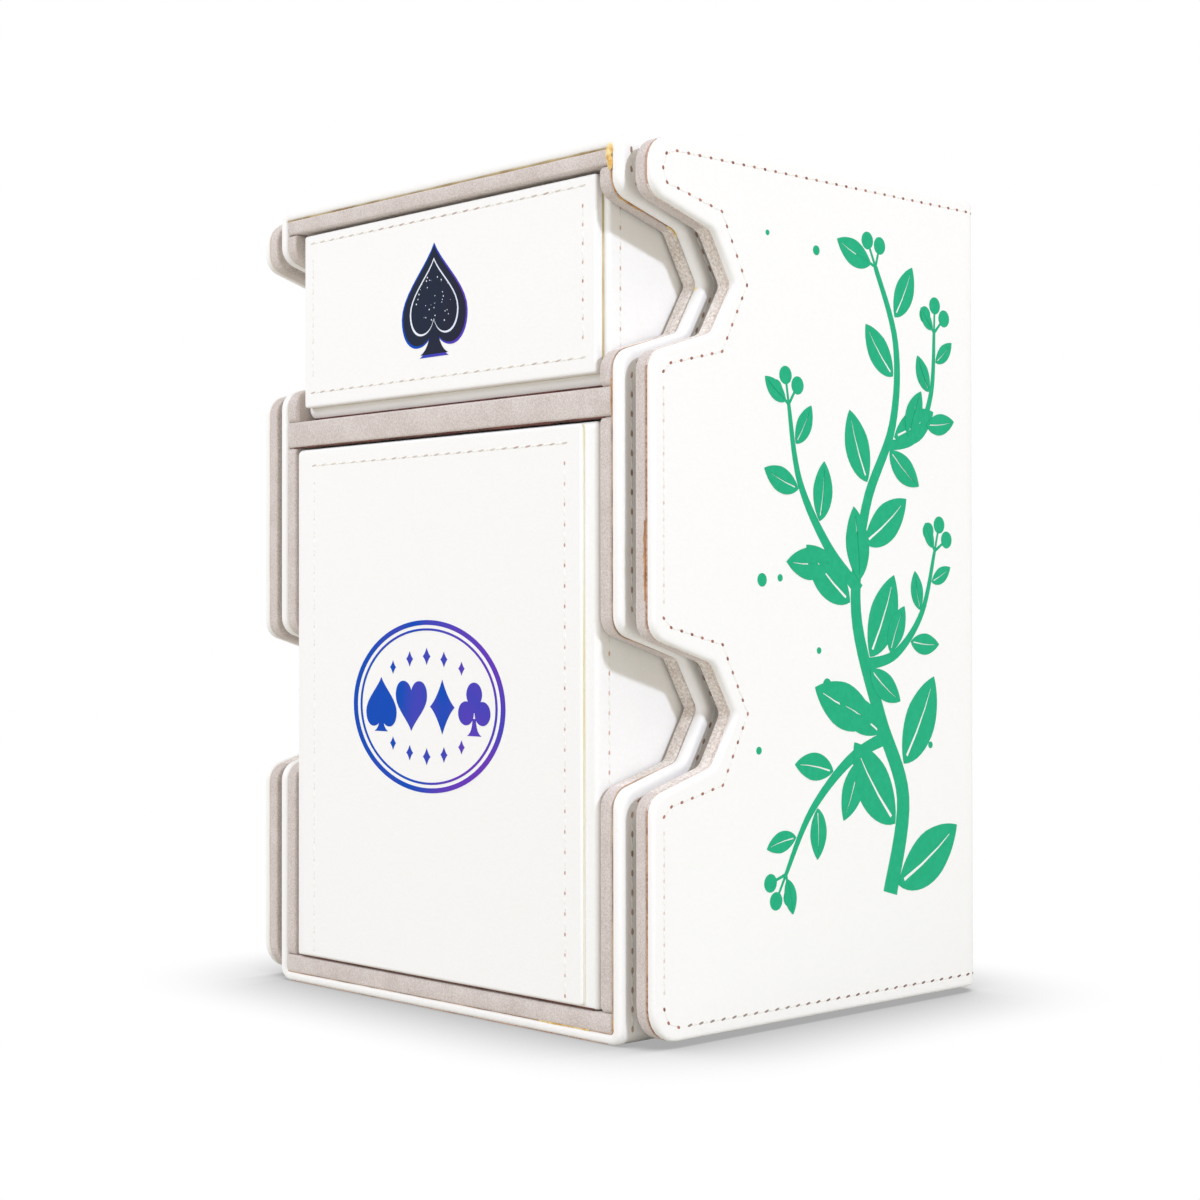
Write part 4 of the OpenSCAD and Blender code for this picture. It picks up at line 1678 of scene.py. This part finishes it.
@dataclass
class SlidingUnit:
    """The drawer or the tray: a leather-wrapped open box with a lining and a stitched front panel."""

    name: str
    rows: PanelRows
    panel_seam: Finish          # what shows along the panel's back edge
    side_row_inset: float       # from the front to the row on each side
    foot_radius: float          # rounding round the floor's edge
    edge_radius: float = 1.0
    wall: float = 2.4
    floor: float = 2.4

    def __post_init__(self) -> None:
        self.low, floor_high = box_mm(f"{self.name}_floor")
        self.high = Vector((-self.low.x, floor_high.y, box_mm(f"{self.name}_front_wall")[1].z))
        self.panel_low, self.panel_high = box_mm(f"{self.name}_front_panel")

    def node(self, part: str) -> str:
        """The full name of one of the unit's nodes."""
        return f"{self.name}_{part}"

    def body(self) -> None:
        """Makes the wrapped box: one skin over floor and walls, with a rounded rim."""
        outline = rectangle((self.low.x, self.low.y), (self.high.x, self.high.y), self.edge_radius)
        soft, wall, rim = self.foot_radius, self.wall, self.wall / 2
        low, high, floor = self.low.z, self.high.z, self.low.z + self.floor
        section = [(soft + 0.5, low)]
        section += arc_profile((soft, low + soft), soft, 270, 180, 6)
        section += [(0.0, high - rim - 0.4)]
        section += arc_profile((rim, high - rim), rim, 180, 0, 2 * RIM_STEPS)
        section += [(wall, floor)]
        points, faces = loft([
            [(x, y, height) for x, y in outline.inset(inset).points()] for inset, height in section
        ])
        piece = make_piece(self.node("box_leather"), points, faces, [PU_LEATHER])
        walls = ("front_wall", "left_wall", "right_wall", "back_wall", "floor")
        settle(piece, *[self.node(part) for part in walls])

    def lining(self) -> None:
        """Makes the five linings."""
        for part in ("front_lining", "left_lining", "right_lining", "back_lining", "floor_lining"):
            replace_board(self.node(part), 0.3, MICROFIBRE)

    def panel(self) -> None:
        """Makes the stitched front panel, with its cut edge sealed."""
        outline = rectangle((self.panel_low.x, self.panel_low.z), (self.panel_high.x, self.panel_high.z), 0.7)
        back, thickness = self.panel_high.y, self.panel_high.y - self.panel_low.y
        rim = Rim(thickness=thickness, back_radius=0.05, face_radius=min(0.5, thickness * 0.4), raw=0.3)
        piece = slab(
            self.node("panel_leather"), outline, rim,
            lambda across, up, height: (across, back - height, up),
            [PU_LEATHER, self.panel_seam],
        )
        settle(piece, self.node("front_panel"))

    def sew(self) -> None:
        """Sews the panel's rows and the upright row on each side of the box."""
        left, right = self.panel_low.x + self.rows.left, self.panel_high.x - self.rows.right
        foot, top = self.panel_low.z + self.rows.foot, self.panel_high.z - self.rows.top
        level = [[(left, top), (right, top)]]
        if self.rows.foot_row:
            level.append([(left, foot), (right, foot)])
        pitch = COLUMN_STITCHES.pitch
        at_foot = pitch if self.rows.foot_row else 0.0
        columns = {x: [shortened([(x, foot), (x, top)], at_foot, pitch)] for x in (left, right)}
        face = self.panel_low.y + SEWN_DEPTH
        for word, stitching, rows in (
            ("level", DASH_STITCHES, level),
            ("left", FAINT_STITCHES, columns[left]),
            ("right", COLUMN_STITCHES, columns[right]),
        ):
            runs = [([(x, face, z) for x, z in row], (0, -1, 0)) for row in rows]
            sew_on(stitching.sew(self.node(f"panel_{word}_stitches"), runs), self.name)
        self.turned_edge()
        depth = self.low.y + self.side_row_inset
        runs = []
        for side in Side:
            x = side.value * (self.high.x - SEWN_DEPTH)
            runs.append(([(x, depth, self.low.z + 3.0), (x, depth, self.high.z - 2.5)], (side.value, 0, 0)))
        sew_on(SIDE_STITCHES.sew(self.node("side_stitches"), runs), self.name)

    def turned_edge(self) -> None:
        """Lays a dark red-brown line of painted shade in the crevice under the front of the floor."""
        reach = self.high.x - self.edge_radius
        depth, height = self.low.y + self.foot_radius * 0.55, self.low.z + self.foot_radius * 0.1
        line = [(reach * (i / 10 - 1), depth, height) for i in range(21)]
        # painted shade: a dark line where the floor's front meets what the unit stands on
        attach(tube(self.node("foot_backing"), [line], 0.2, PAINTED_CREVICE_SHADE, wander=0.2), self.name)

    def build(self) -> None:
        """Makes the whole unit."""
        self.body()
        self.lining()
        self.panel()
        self.sew()
        dress(self.node("magnet"), NICKEL)


def dress(node: str, finish: Finish) -> None:
    """Gives a CAD node that stays a finish."""
    piece = frame["nodes"][node]
    piece.data.materials.clear()
    piece.data.materials.append(finish.material())


# ---- Foil emblems and printed sprays ----


def bezier_half(
    start: Point2, curves: Sequence[tuple[Point2, Point2, Point2]], steps: int = 9
) -> list[Point2]:
    """Points along joined cubic curves.

    Args:
        start: The first point.
        curves: Each curve's two handles and its end.
        steps: Chords in each curve.

    Returns:
        The points.
    """
    found = [start]
    for first, second, end in curves:
        origin = found[-1]
        for step in range(1, steps + 1):
            t = step / steps
            weights = ((1 - t) ** 3, 3 * t * (1 - t) ** 2, 3 * t * t * (1 - t), t ** 3)
            found.append(tuple(
                sum(weight * point[axis] for weight, point in zip(weights, (origin, first, second, end)))
                for axis in range(2)))
    return found


def mirrored(half: Sequence[Point2]) -> list[Point2]:
    """A closed loop from its right half, which starts and ends on the middle line."""
    return list(half) + [(-x, y) for x, y in reversed(half[1:-1])]


def circle(centre: Point2, radius: float, steps: int = 28, squash: float = 1.0) -> list[Point2]:
    """A circle, or an ellipse whose height is squash times its width."""
    return [
        (centre[0] + radius * math.cos(math.tau * i / steps),
         centre[1] + radius * squash * math.sin(math.tau * i / steps))
        for i in range(steps)
    ]


def moved(loop: Sequence[Point2], centre: Point2, size: float) -> list[Point2]:
    """A loop drawn at unit size, scaled and moved into place."""
    return [(centre[0] + x * size, centre[1] + y * size) for x, y in loop]


class Suit(Enum):
    """The four suits of playing cards, each as loops of unit size."""

    SPADE = "spade"
    HEART = "heart"
    DIAMOND = "diamond"
    CLUB = "club"

    def loops(self) -> list[list[Point2]]:
        """The suit's loops, which may overlap."""
        foot = mirrored(bezier_half((0.0, -0.2), [((0.02, -0.2), (0.04, -0.2), (0.05, -0.22)),
                                                  ((0.06, -0.4), (0.12, -0.5), (0.22, -0.54)),
                                                  ((0.1, -0.54), (0.05, -0.54), (0.0, -0.54))]))
        heart = mirrored(bezier_half((0.0, -0.5), [((0.12, -0.28), (0.5, -0.05), (0.5, 0.2)),
                                                   ((0.5, 0.4), (0.38, 0.5), (0.26, 0.5)),
                                                   ((0.13, 0.5), (0.04, 0.42), (0.0, 0.3))]))
        if self is Suit.HEART:
            return [heart]
        if self is Suit.DIAMOND:
            return [mirrored(bezier_half((0.0, 0.54), [((0.1, 0.32), (0.22, 0.12), (0.38, 0.0)),
                                                       ((0.22, -0.12), (0.1, -0.32), (0.0, -0.54))]))]
        if self is Suit.SPADE:
            return [[(x, 0.06 - y) for x, y in heart], foot]
        lobes = [circle(centre, 0.235) for centre in ((0.0, 0.27), (-0.25, -0.1), (0.25, -0.1))]
        return [*lobes, circle((0.0, 0.03), 0.12), foot]


def flat_piece(name: str, layers: Sequence[Layer], place: Place, thickness: float) -> Piece:
    """Thin stamped or printed shapes on a surface.

    Args:
        name: The piece's name.
        layers: Each layer's loops and finish. Loops within one layer cut holes in each other.
        place: Turns (across, up, height) into a place in the frame.
        thickness: The thickness of the thinnest layer.

    Returns:
        The piece.
    """
    points: list[Point3] = []
    faces: list[Face] = []
    chosen: list[int] = []
    finishes: list[Finish] = []
    for number, (loops, finish) in enumerate(layers):
        if finish not in finishes:
            finishes.append(finish)
        mesh = filled(loops, thickness * (1 + 0.1 * (number % 5)))      # shapes that cross differ in height
        first = len(points)
        points += [place(v.co.x, v.co.y, v.co.z) for v in mesh.vertices]
        faces += [tuple(first + n for n in face.vertices) for face in mesh.polygons]
        chosen += [finishes.index(finish)] * len(mesh.polygons)
        bpy.data.meshes.remove(mesh)
    mesh = bpy.data.meshes.new(name)
    mesh.from_pydata([Vector(point) * MM for point in points], [], faces)
    for finish in finishes:
        mesh.materials.append(finish.material())
    mesh.polygons.foreach_set("material_index", chosen)
    with edited(mesh) as work:
        bmesh.ops.recalc_face_normals(work, faces=work.faces)
    return link_object(name, mesh)


def filled(loops: Sequence[Sequence[Point2]], thickness: float) -> bpy.types.Mesh:
    """Fills flat loops, with holes where they lie in each other, from height 0 to a thickness."""
    curve = bpy.data.curves.new("fill", "CURVE")
    curve.dimensions = "2D"
    curve.fill_mode = "BOTH"
    curve.extrude = thickness / 2
    for loop in loops:
        spline = curve.splines.new("POLY")
        spline.points.add(len(loop) - 1)
        for point, (x, y) in zip(spline.points, loop):
            point.co = (x, y, 0.0, 1.0)
        spline.use_cyclic_u = True
    holder = link_object("fill", curve)
    mesh = bpy.data.meshes.new_from_object(holder.evaluated_get(bpy.context.evaluated_depsgraph_get()))
    bpy.data.objects.remove(holder)
    bpy.data.curves.remove(curve)
    with edited(mesh) as work:
        bmesh.ops.remove_doubles(work, verts=work.verts, dist=1e-5)
        for vertex in work.verts:
            vertex.co.z += thickness / 2
    return mesh


@dataclass
class Emblems:
    """Generic foil emblems: a spade on the drawer's front, and the four suits in an oval on the tray's."""

    foil: float = 0.05
    spade_size: float = 20.0
    spade_centre: Point2 = (-1.5, 136.0)
    oval_centre: Point2 = (-1.6, 58.0)
    oval_half_width: float = 23.0
    oval_squash: float = 0.72
    oval_rings: tuple[float, ...] = (0.0, 1.3, 2.2, 2.8)   # edges of the two rings, in from the oval
    suit_size: float = 9.6
    suit_gap: float = 9.4
    diamond_gap: float = 5.2
    diamond_rise: float = 9.6   # of the middle one over the middle of the oval
    diamond_drop: float = 0.55  # times the square of a diamond's number from the middle
    diamond_size: float = 3.0
    diamond_taper: float = 0.3
    specks: int = 34
    specks_reach: float = 0.27  # as a share of the spade's size

    def drawer_spade(self) -> None:
        """Stamps a navy spade with a blue edge, a silver line inside it and a few silver specks."""
        middle, size = self.spade_centre, self.spade_size
        layers: list[Layer] = []
        for share, foil in ((1.0, BLUE_FOIL), (0.95, NAVY_FOIL)):
            layers += [([moved(loop, middle, size * share)], foil) for loop in Suit.SPADE.loops()]
        body = Suit.SPADE.loops()[0]
        layers.append(([moved(body, middle, size * share) for share in (0.74, 0.7)], SILVER_FOIL))
        chance = random.Random(3)
        for _ in range(self.specks):
            reach, angle = self.specks_reach * math.sqrt(chance.random()), chance.uniform(0, math.tau)
            centre = (middle[0] + size * reach * math.cos(angle), middle[1] + size * reach * math.sin(angle))
            layers.append(([circle(centre, chance.uniform(0.06, 0.17), 8)], SILVER_FOIL))
        self.stamp("drawer", "drawer_spade", layers)

    def tray_oval(self) -> None:
        """Stamps a double oval ring round the four suits, with small diamonds above and below them."""
        middle, half, squash = self.oval_centre, self.oval_half_width, self.oval_squash
        rings = [circle(middle, half - inset, 96, squash) for inset in self.oval_rings]
        layers: list[Layer] = [(rings[0:2], BLUE_FOIL), (rings[2:4], BLUE_FOIL)]
        for i, suit in enumerate(Suit):
            centre = (middle[0] + (i - 1.5) * self.suit_gap, middle[1])
            layers += [([moved(loop, centre, self.suit_size)], BLUE_FOIL) for loop in suit.loops()]
        diamond = Suit.DIAMOND.loops()[0]
        for i in range(-2, 3):
            rise = self.diamond_rise - self.diamond_drop * i * i
            size = self.diamond_size - self.diamond_taper * abs(i)
            for side in (-1, 1):
                centre = (middle[0] + i * self.diamond_gap, middle[1] + side * rise)
                layers.append(([moved(diamond, centre, size)], BLUE_FOIL))
        self.stamp("tray", "tray_oval", layers)

    def stamp(self, body: str, name: str, layers: Sequence[Layer]) -> None:
        """Lays foil layers on a front panel, each foil a little higher than the one before.

        Args:
            body: The unit that the panel belongs to.
            name: The emblem's name.
            layers: Its loops and foils.
        """
        face = box_mm(f"{body}_front_panel")[0].y

        def place(across: float, up: float, height: float) -> Point3:
            return (across, face - height, up)

        for level, foil in enumerate(dict.fromkeys(foil for _, foil in layers)):
            chosen = [layer for layer in layers if layer[1] == foil]
            piece = flat_piece(f"{name}_{foil.name}", chosen, place, self.foil * (1 + 0.5 * level))
            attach(piece, body)
        log.info("%s stamped with %d shapes", name, len(layers))


@dataclass
class PrintedSpray:
    """A generic leafy spray with berries, printed in green on each wing."""

    ink: float = 0.04
    berry_radius: float = 1.7
    berries: tuple[Point2, ...] = ((-0.75, 4.4), (0.0, 5.4), (0.75, 4.4))   # (turn, reach) from a stem's tip
    dots: int = 26              # tried, of which those stay that are clear of the stems
    dots_clear: float = 11.0

    def stems(self) -> list[tuple[list[Point2], float, float, float]]:
        """The stems: points behind the wing's front and above the base, leaf size and stem widths."""
        return [
            ([(64, 22), (68, 40), (61, 56), (54, 76), (57, 96), (65, 112), (66, 128), (60, 142)],
             24.0, 4.2, 1.2),
            ([(63, 52), (52, 48), (41, 39), (34, 28)], 15.5, 2.8, 0.9),
            ([(57, 66), (66, 68), (74, 76), (78, 88)], 12.5, 2.4, 0.8),
            ([(55, 80), (46, 88), (38, 100), (35, 114)], 16.0, 2.8, 0.9),
            ([(63, 108), (72, 110), (77, 119), (78, 131)], 12.5, 2.2, 0.8),
        ]

    def build(self, side: Side, front: float, outer_x: float) -> None:
        """Prints the spray on one wing.

        Args:
            side: Which wing.
            front: The depth of the wing's front edge.
            outer_x: The distance of its outer face from the middle.
        """
        def place(across: float, up: float, height: float) -> Point3:
            return (side.value * (outer_x + height), front + across, up)

        layers: list[Layer] = []
        sprigs: list[tuple[list[Point2], float]] = []
        chance = random.Random(5)
        for points, leaf, thick, thin in self.stems():
            line = smooth_line(points)
            sprigs.append((line, leaf))
            layers.append(([tapered_ribbon(line, thick, thin)], GREEN_INK))
            tip = Vector(line[-1])
            ahead = (tip - Vector(line[-3])).normalized()
            for turned, reach in self.berries:
                centre = tip + (Matrix.Rotation(turned, 2) @ ahead) * reach
                layers.append(([circle(tuple(centre), self.berry_radius, 18)], GREEN_INK))
                layers.append(([tapered_ribbon([tuple(tip), tuple(centre)], 0.6, 0.5)], GREEN_INK))
        for _ in range(self.dots):
            dot = (chance.uniform(26, 84), chance.uniform(24, 148))
            if min(math.dist(dot, point) for line, _ in sprigs for point in line) > self.dots_clear:
                layers.append(([circle(dot, chance.uniform(0.5, 1.3), 14)], GREEN_INK))
        stems = flat_piece(f"{side.word}_wing_print_stems", layers, place, self.ink)
        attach(stems, f"{side.word}_wing")
        for number, (line, leaf) in enumerate(sprigs):
            run = [place(across, up, 0.0) for across, up in line]
            ink = self.ink * (1.6 + 0.4 * number)
            name = f"{side.word}_wing_print_leaves_{number + 1}"
            leaves = leafy_sprig(name, run, (side.value, 0, 0), leaf, ink)
            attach(leaves, f"{side.word}_wing")
        log.info("spray printed on the %s wing: %d shapes and %d sprigs", side.word, len(layers), len(sprigs))


def smooth_line(points: Sequence[Point2], steps: int = 8) -> list[Point2]:
    """A smooth line through points, as a Catmull-Rom spline."""
    padded = [points[0], *points, points[-1]]
    found = []
    for i in range(1, len(padded) - 2):
        p0, p1, p2, p3 = (Vector(p) for p in padded[i - 1:i + 3])
        for step in range(steps):
            t = step / steps
            point = 0.5 * (
                2 * p1 + (p2 - p0) * t + (2 * p0 - 5 * p1 + 4 * p2 - p3) * t * t
                + (3 * p1 - p0 - 3 * p2 + p3) * t ** 3)
            found.append((point.x, point.y))
    found.append(tuple(points[-1]))
    return found


def tapered_ribbon(line: Sequence[Point2], thick: float, thin: float) -> list[Point2]:
    """A closed loop round a line, from one width at its start to another at its end."""
    left, right = [], []
    last = len(line) - 1
    for i, point in enumerate(line):
        ahead = (Vector(line[min(i + 1, last)]) - Vector(line[max(i - 1, 0)])).normalized()
        out = Vector((-ahead.y, ahead.x)) * (thick + (thin - thick) * i / last) / 2
        left.append(tuple(Vector(point) + out))
        right.append(tuple(Vector(point) - out))
    return left + right[::-1]


def leaf_loops() -> list[list[Point2]]:
    """A leaf of unit length that starts at the origin, with its midrib left bare."""
    upper = [((0.2, 0.16), (0.45, 0.26), (0.66, 0.2)), ((0.82, 0.15), (0.93, 0.06), (1.0, -0.03))]
    lower = [((0.2, -0.1), (0.42, -0.22), (0.62, -0.2)), ((0.8, -0.17), (0.92, -0.1), (1.0, -0.03))]
    outline = bezier_half((0.12, 0.0), upper) + bezier_half((0.12, 0.0), lower)[1:-1][::-1]
    rib = tapered_ribbon([(0.2, 0.0), (0.45, 0.012), (0.7, 0.005), (0.88, -0.015)], 0.03, 0.008)
    return [outline, rib]


def leaf_tree() -> Tree:
    """The tree that sets leaves along a stem, by turns left and right, smaller towards its tip."""
    tree, given = new_tree("leafy_sprig", {
        "Spacing": "NodeSocketFloat", "Leaf size": "NodeSocketFloat", "Spread": "NodeSocketFloat",
        "Leaf": "NodeSocketObject", "Ink": "NodeSocketMaterial"})
    path = add_node(tree, "GeometryNodeMeshToCurve", {"Mesh": given.outputs["Geometry"]}).outputs[0]
    steps = even_steps(tree, path, given.outputs["Spacing"]).outputs[0]
    facing = add_node(
        tree, "GeometryNodeInputNamedAttribute", {"Name": "facing"}, data_type="FLOAT_VECTOR"
    ).outputs["Attribute"]
    tangent = add_node(tree, "GeometryNodeInputTangent").outputs[0]
    index = add_node(tree, "GeometryNodeInputIndex").outputs[0]
    parity = add_node(tree, "ShaderNodeMath", {0: index, 1: 2.0}, operation="MODULO").outputs[0]
    sign = add_node(tree, "ShaderNodeMath", {0: parity, 1: 2.0, 2: -1.0}, operation="MULTIPLY_ADD").outputs[0]
    angle = add_node(
        tree, "ShaderNodeMath", {0: sign, 1: given.outputs["Spread"]}, operation="MULTIPLY").outputs[0]
    turned = leaning(tree, tangent, facing, angle)
    factor = add_node(tree, "GeometryNodeSplineParameter").outputs["Factor"]
    taper = add_node(
        tree, "ShaderNodeMapRange", {"Value": factor, "To Min": 1.0, "To Max": 0.5}).outputs["Result"]
    size = add_node(
        tree, "ShaderNodeMath", {0: taper, 1: given.outputs["Leaf size"]}, operation="MULTIPLY").outputs[0]
    mirror_y = add_node(tree, "ShaderNodeMath", {0: size, 1: sign}, operation="MULTIPLY").outputs[0]
    layer = add_node(tree, "ShaderNodeMath", {0: index, 1: 4.0}, operation="MODULO").outputs[0]
    lift = add_node(tree, "ShaderNodeMath", {0: layer, 1: 0.06, 2: 1.0}, operation="MULTIPLY_ADD").outputs[0]
    scale = add_node(tree, "ShaderNodeCombineXYZ", {"X": size, "Y": mirror_y, "Z": lift}).outputs[0]
    leaf = add_node(tree, "GeometryNodeObjectInfo", {"Object": given.outputs["Leaf"]}).outputs["Geometry"]
    leaves = add_node(tree, "GeometryNodeInstanceOnPoints", {
        "Points": steps, "Instance": leaf, "Rotation": turned, "Scale": scale}).outputs[0]
    real = add_node(tree, "GeometryNodeRealizeInstances", {0: leaves}).outputs[0]
    inked = add_node(tree, "GeometryNodeSetMaterial", {"Geometry": real, "Material": given.outputs["Ink"]})
    add_node(tree, "NodeGroupOutput", {0: inked.outputs[0]})
    return tree


def leafy_sprig(name: str, run: Sequence[Point3], normal: Point3, leaf_size: float, ink: float) -> Piece:
    """Prints leaves along one stem.

    Args:
        name: The piece's name.
        run: The stem's points in millimetres.
        normal: The way that the surface faces.
        leaf_size: The length of the first leaf.
        ink: The thickness of the print.

    Returns:
        The piece.
    """
    leaf = link_object("unit_leaf", filled(leaf_loops(), ink * MM))
    bpy.context.view_layer.update()
    tree = bpy.data.node_groups.get("leafy_sprig") or leaf_tree()
    values = {
        "Spacing": leaf_size * 0.5 * MM, "Leaf size": leaf_size * MM, "Spread": math.radians(46),
        "Leaf": leaf, "Ink": GREEN_INK.material()}
    piece = grow(name, tree, [(run, normal)], values)
    bpy.data.objects.remove(leaf)
    tidy_mesh(piece.data)
    return piece


# ---- Studio ----


@dataclass(frozen=True)
class Studio:
    """The camera at the photograph's angle, soft plain light, and a pale floor."""

    camera_place: Point3 = (0.32367, -0.30986, 0.07402)
    yaw: float = 46.564
    pitch: float = 0.596
    roll: float = -0.063
    lens: float = 65.23
    sensor_width: float = 36.0
    near: float = 0.01          # metres from the camera, where the picture starts
    sky: float = 0.64           # strength of the even light
    sky_tint: str = "#fff8ea"   # the room's light is a little warmer than the lamps
    lamp_tint: str = "#e7edff"  # with the sky this makes plain white
    key_power: float = 9.2      # watts of the lamp to the right, which draws the shades in the notches
    key_place: Point3 = (1.30, -0.06, 0.62)
    key_size: float = 0.09
    fill_power: float = 12.2    # watts of the broad lamp in front
    fill_place: Point3 = (-0.35, -1.20, 0.92)
    fill_size: float = 0.9
    aim: Point3 = (0.0, 0.0, 0.08)      # the middle of the box, where both lamps point
    floor_half: float = 3.0     # half the floor's width
    shade_reach: float = 0.03   # how far from the box the floor is shaded

    def camera(self) -> None:
        """Sets up the camera."""
        yaw, pitch, roll = (math.radians(v) for v in (self.yaw, self.pitch, self.roll))
        ahead = Vector((-math.sin(yaw) * math.cos(pitch), math.cos(yaw) * math.cos(pitch), math.sin(pitch)))
        right = Vector((math.cos(yaw), math.sin(yaw), 0.0))
        up = right.cross(ahead)
        turned_right = right * math.cos(roll) + up * math.sin(roll)
        turned_up = up * math.cos(roll) - right * math.sin(roll)
        data = bpy.data.cameras.new("camera")
        data.lens, data.sensor_width, data.clip_start = self.lens, self.sensor_width, self.near
        camera = link_object("camera", data)
        axes = Matrix((turned_right, turned_up, -ahead)).transposed().to_4x4()
        camera.matrix_world = Matrix.Translation(self.camera_place) @ axes
        bpy.context.scene.camera = camera

    def lamp(self, name: str, place: Point3, size: float, power: float) -> None:
        """Hangs a round lamp and aims it at the middle of the box.

        Args:
            name: The lamp's name.
            place: Its place in metres.
            size: Its width in metres.
            power: Its watts.
        """
        data = bpy.data.lights.new(name, "AREA")
        data.shape, data.size, data.energy = "DISK", size, power
        data.color = linear(self.lamp_tint)[:3]
        way = Vector(self.aim) - Vector(place)
        turned = way.to_track_quat("-Z", "Y").to_matrix().to_4x4()
        link_object(name, data).matrix_world = Matrix.Translation(place) @ turned

    def seen(self, tree: Tree) -> Socket:
        """1 for a ray that shows the background to the eye, straight, in a gloss or through a clear thing."""
        rays = add_node(tree, "ShaderNodeLightPath").outputs
        first = add_node(
            tree, "ShaderNodeMath", {0: rays["Is Camera Ray"], 1: rays["Is Glossy Ray"]}, operation="MAXIMUM"
        ).outputs[0]
        return add_node(
            tree, "ShaderNodeMath", {0: first, 1: rays["Is Transmission Ray"]}, operation="MAXIMUM"
        ).outputs[0]

    def world(self) -> None:
        """Lights the box evenly, and shows white behind it."""
        world = bpy.data.worlds.new("studio")
        world.use_nodes = True
        tree = world.node_tree
        seen = self.seen(tree)
        strength = add_node(tree, "ShaderNodeMapRange", {"Value": seen, "To Min": self.sky, "To Max": 1.0})
        background = tree.nodes["Background"]
        tree.links.new(two_tone(tree, seen, 0.0, 1.0, self.sky_tint, "#ffffff"), background.inputs["Color"])
        tree.links.new(strength.outputs["Result"], background.inputs["Strength"])
        bpy.context.scene.world = world

    def floor(self) -> None:
        """Lays a pale floor that shows white, but for the soft shade where the box stands on it."""
        half, mesh = self.floor_half, bpy.data.meshes.new("floor")
        corners = [(-half, -half, 0), (half, -half, 0), (half, half, 0), (-half, half, 0)]
        mesh.from_pydata(corners, [], [(0, 1, 2, 3)])
        floor = link_object("floor", mesh)
        material = bpy.data.materials.new("pale_floor")
        material.use_nodes = True
        tree = material.node_tree
        shade = add_node(tree, "ShaderNodeAmbientOcclusion", {"Distance": self.shade_reach}, samples=16)
        tone = two_tone(tree, shade.outputs["AO"], 0.3, 0.98, "#a9a9a9", "#ffffff")
        glow = add_node(tree, "ShaderNodeEmission", {"Color": tone, "Strength": 1.0})
        shader = tree.nodes["Principled BSDF"]
        shader.inputs["Base Color"].default_value = linear("#cfccc2")
        shader.inputs["Roughness"].default_value = 0.9
        mix = add_node(
            tree, "ShaderNodeMixShader", {0: self.seen(tree), 1: shader.outputs[0], 2: glow.outputs[0]})
        tree.links.new(mix.outputs[0], tree.nodes["Material Output"].inputs["Surface"])
        mesh.materials.append(material)

    def build(self) -> None:
        """Sets up the whole studio."""
        self.camera()
        self.lamp("key", self.key_place, self.key_size, self.key_power)
        self.lamp("fill", self.fill_place, self.fill_size, self.fill_power)
        self.world()
        self.floor()
        bpy.context.scene.view_settings.view_transform = "Standard"


def main() -> None:
    """Builds the box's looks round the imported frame."""
    logging.basicConfig(level=logging.INFO, format="%(name)s: %(message)s")
    notch = Notch()
    heights = []
    for level in ("lower", "upper"):
        low, high = box_mm(f"{level}_right_liner")
        heights.append((low.z + high.z) / 2 + notch.rise)
    notch_heights = (heights[0], heights[1])

    shell = CaseShell.from_frame()
    shell.build(notch, notch_heights)
    shell.sew(notch, notch_heights)
    BayLining(notch, notch_heights).build()
    SeamGlue(shell, notch, notch_heights).build()
    cover = OuterCover(notch, notch_heights)
    cover.build()
    drawer_rows = PanelRows(top=1.8, right=3.5, left=3.0, foot=3.0, foot_row=True)
    SlidingUnit("drawer", drawer_rows, PANEL_SEAM, side_row_inset=2.9, foot_radius=2.0).build()
    tray_rows = PanelRows(top=3.2, right=4.4, left=3.9, foot=1.2, foot_row=False)
    SlidingUnit("tray", tray_rows, EDGE_PAINT, side_row_inset=2.95, foot_radius=0.6).build()
    for board in ("left_board", "right_board", "top_board", "bottom_board", "back_board"):
        dress(board, GREYBOARD)
    dress("back_magnets", NICKEL)
    emblems = Emblems()
    emblems.drawer_spade()
    emblems.tray_oval()
    for side in Side:
        PrintedSpray().build(side, cover.front, cover.outer_x)
    Studio().build()


if __name__ == "__main__":
    main()
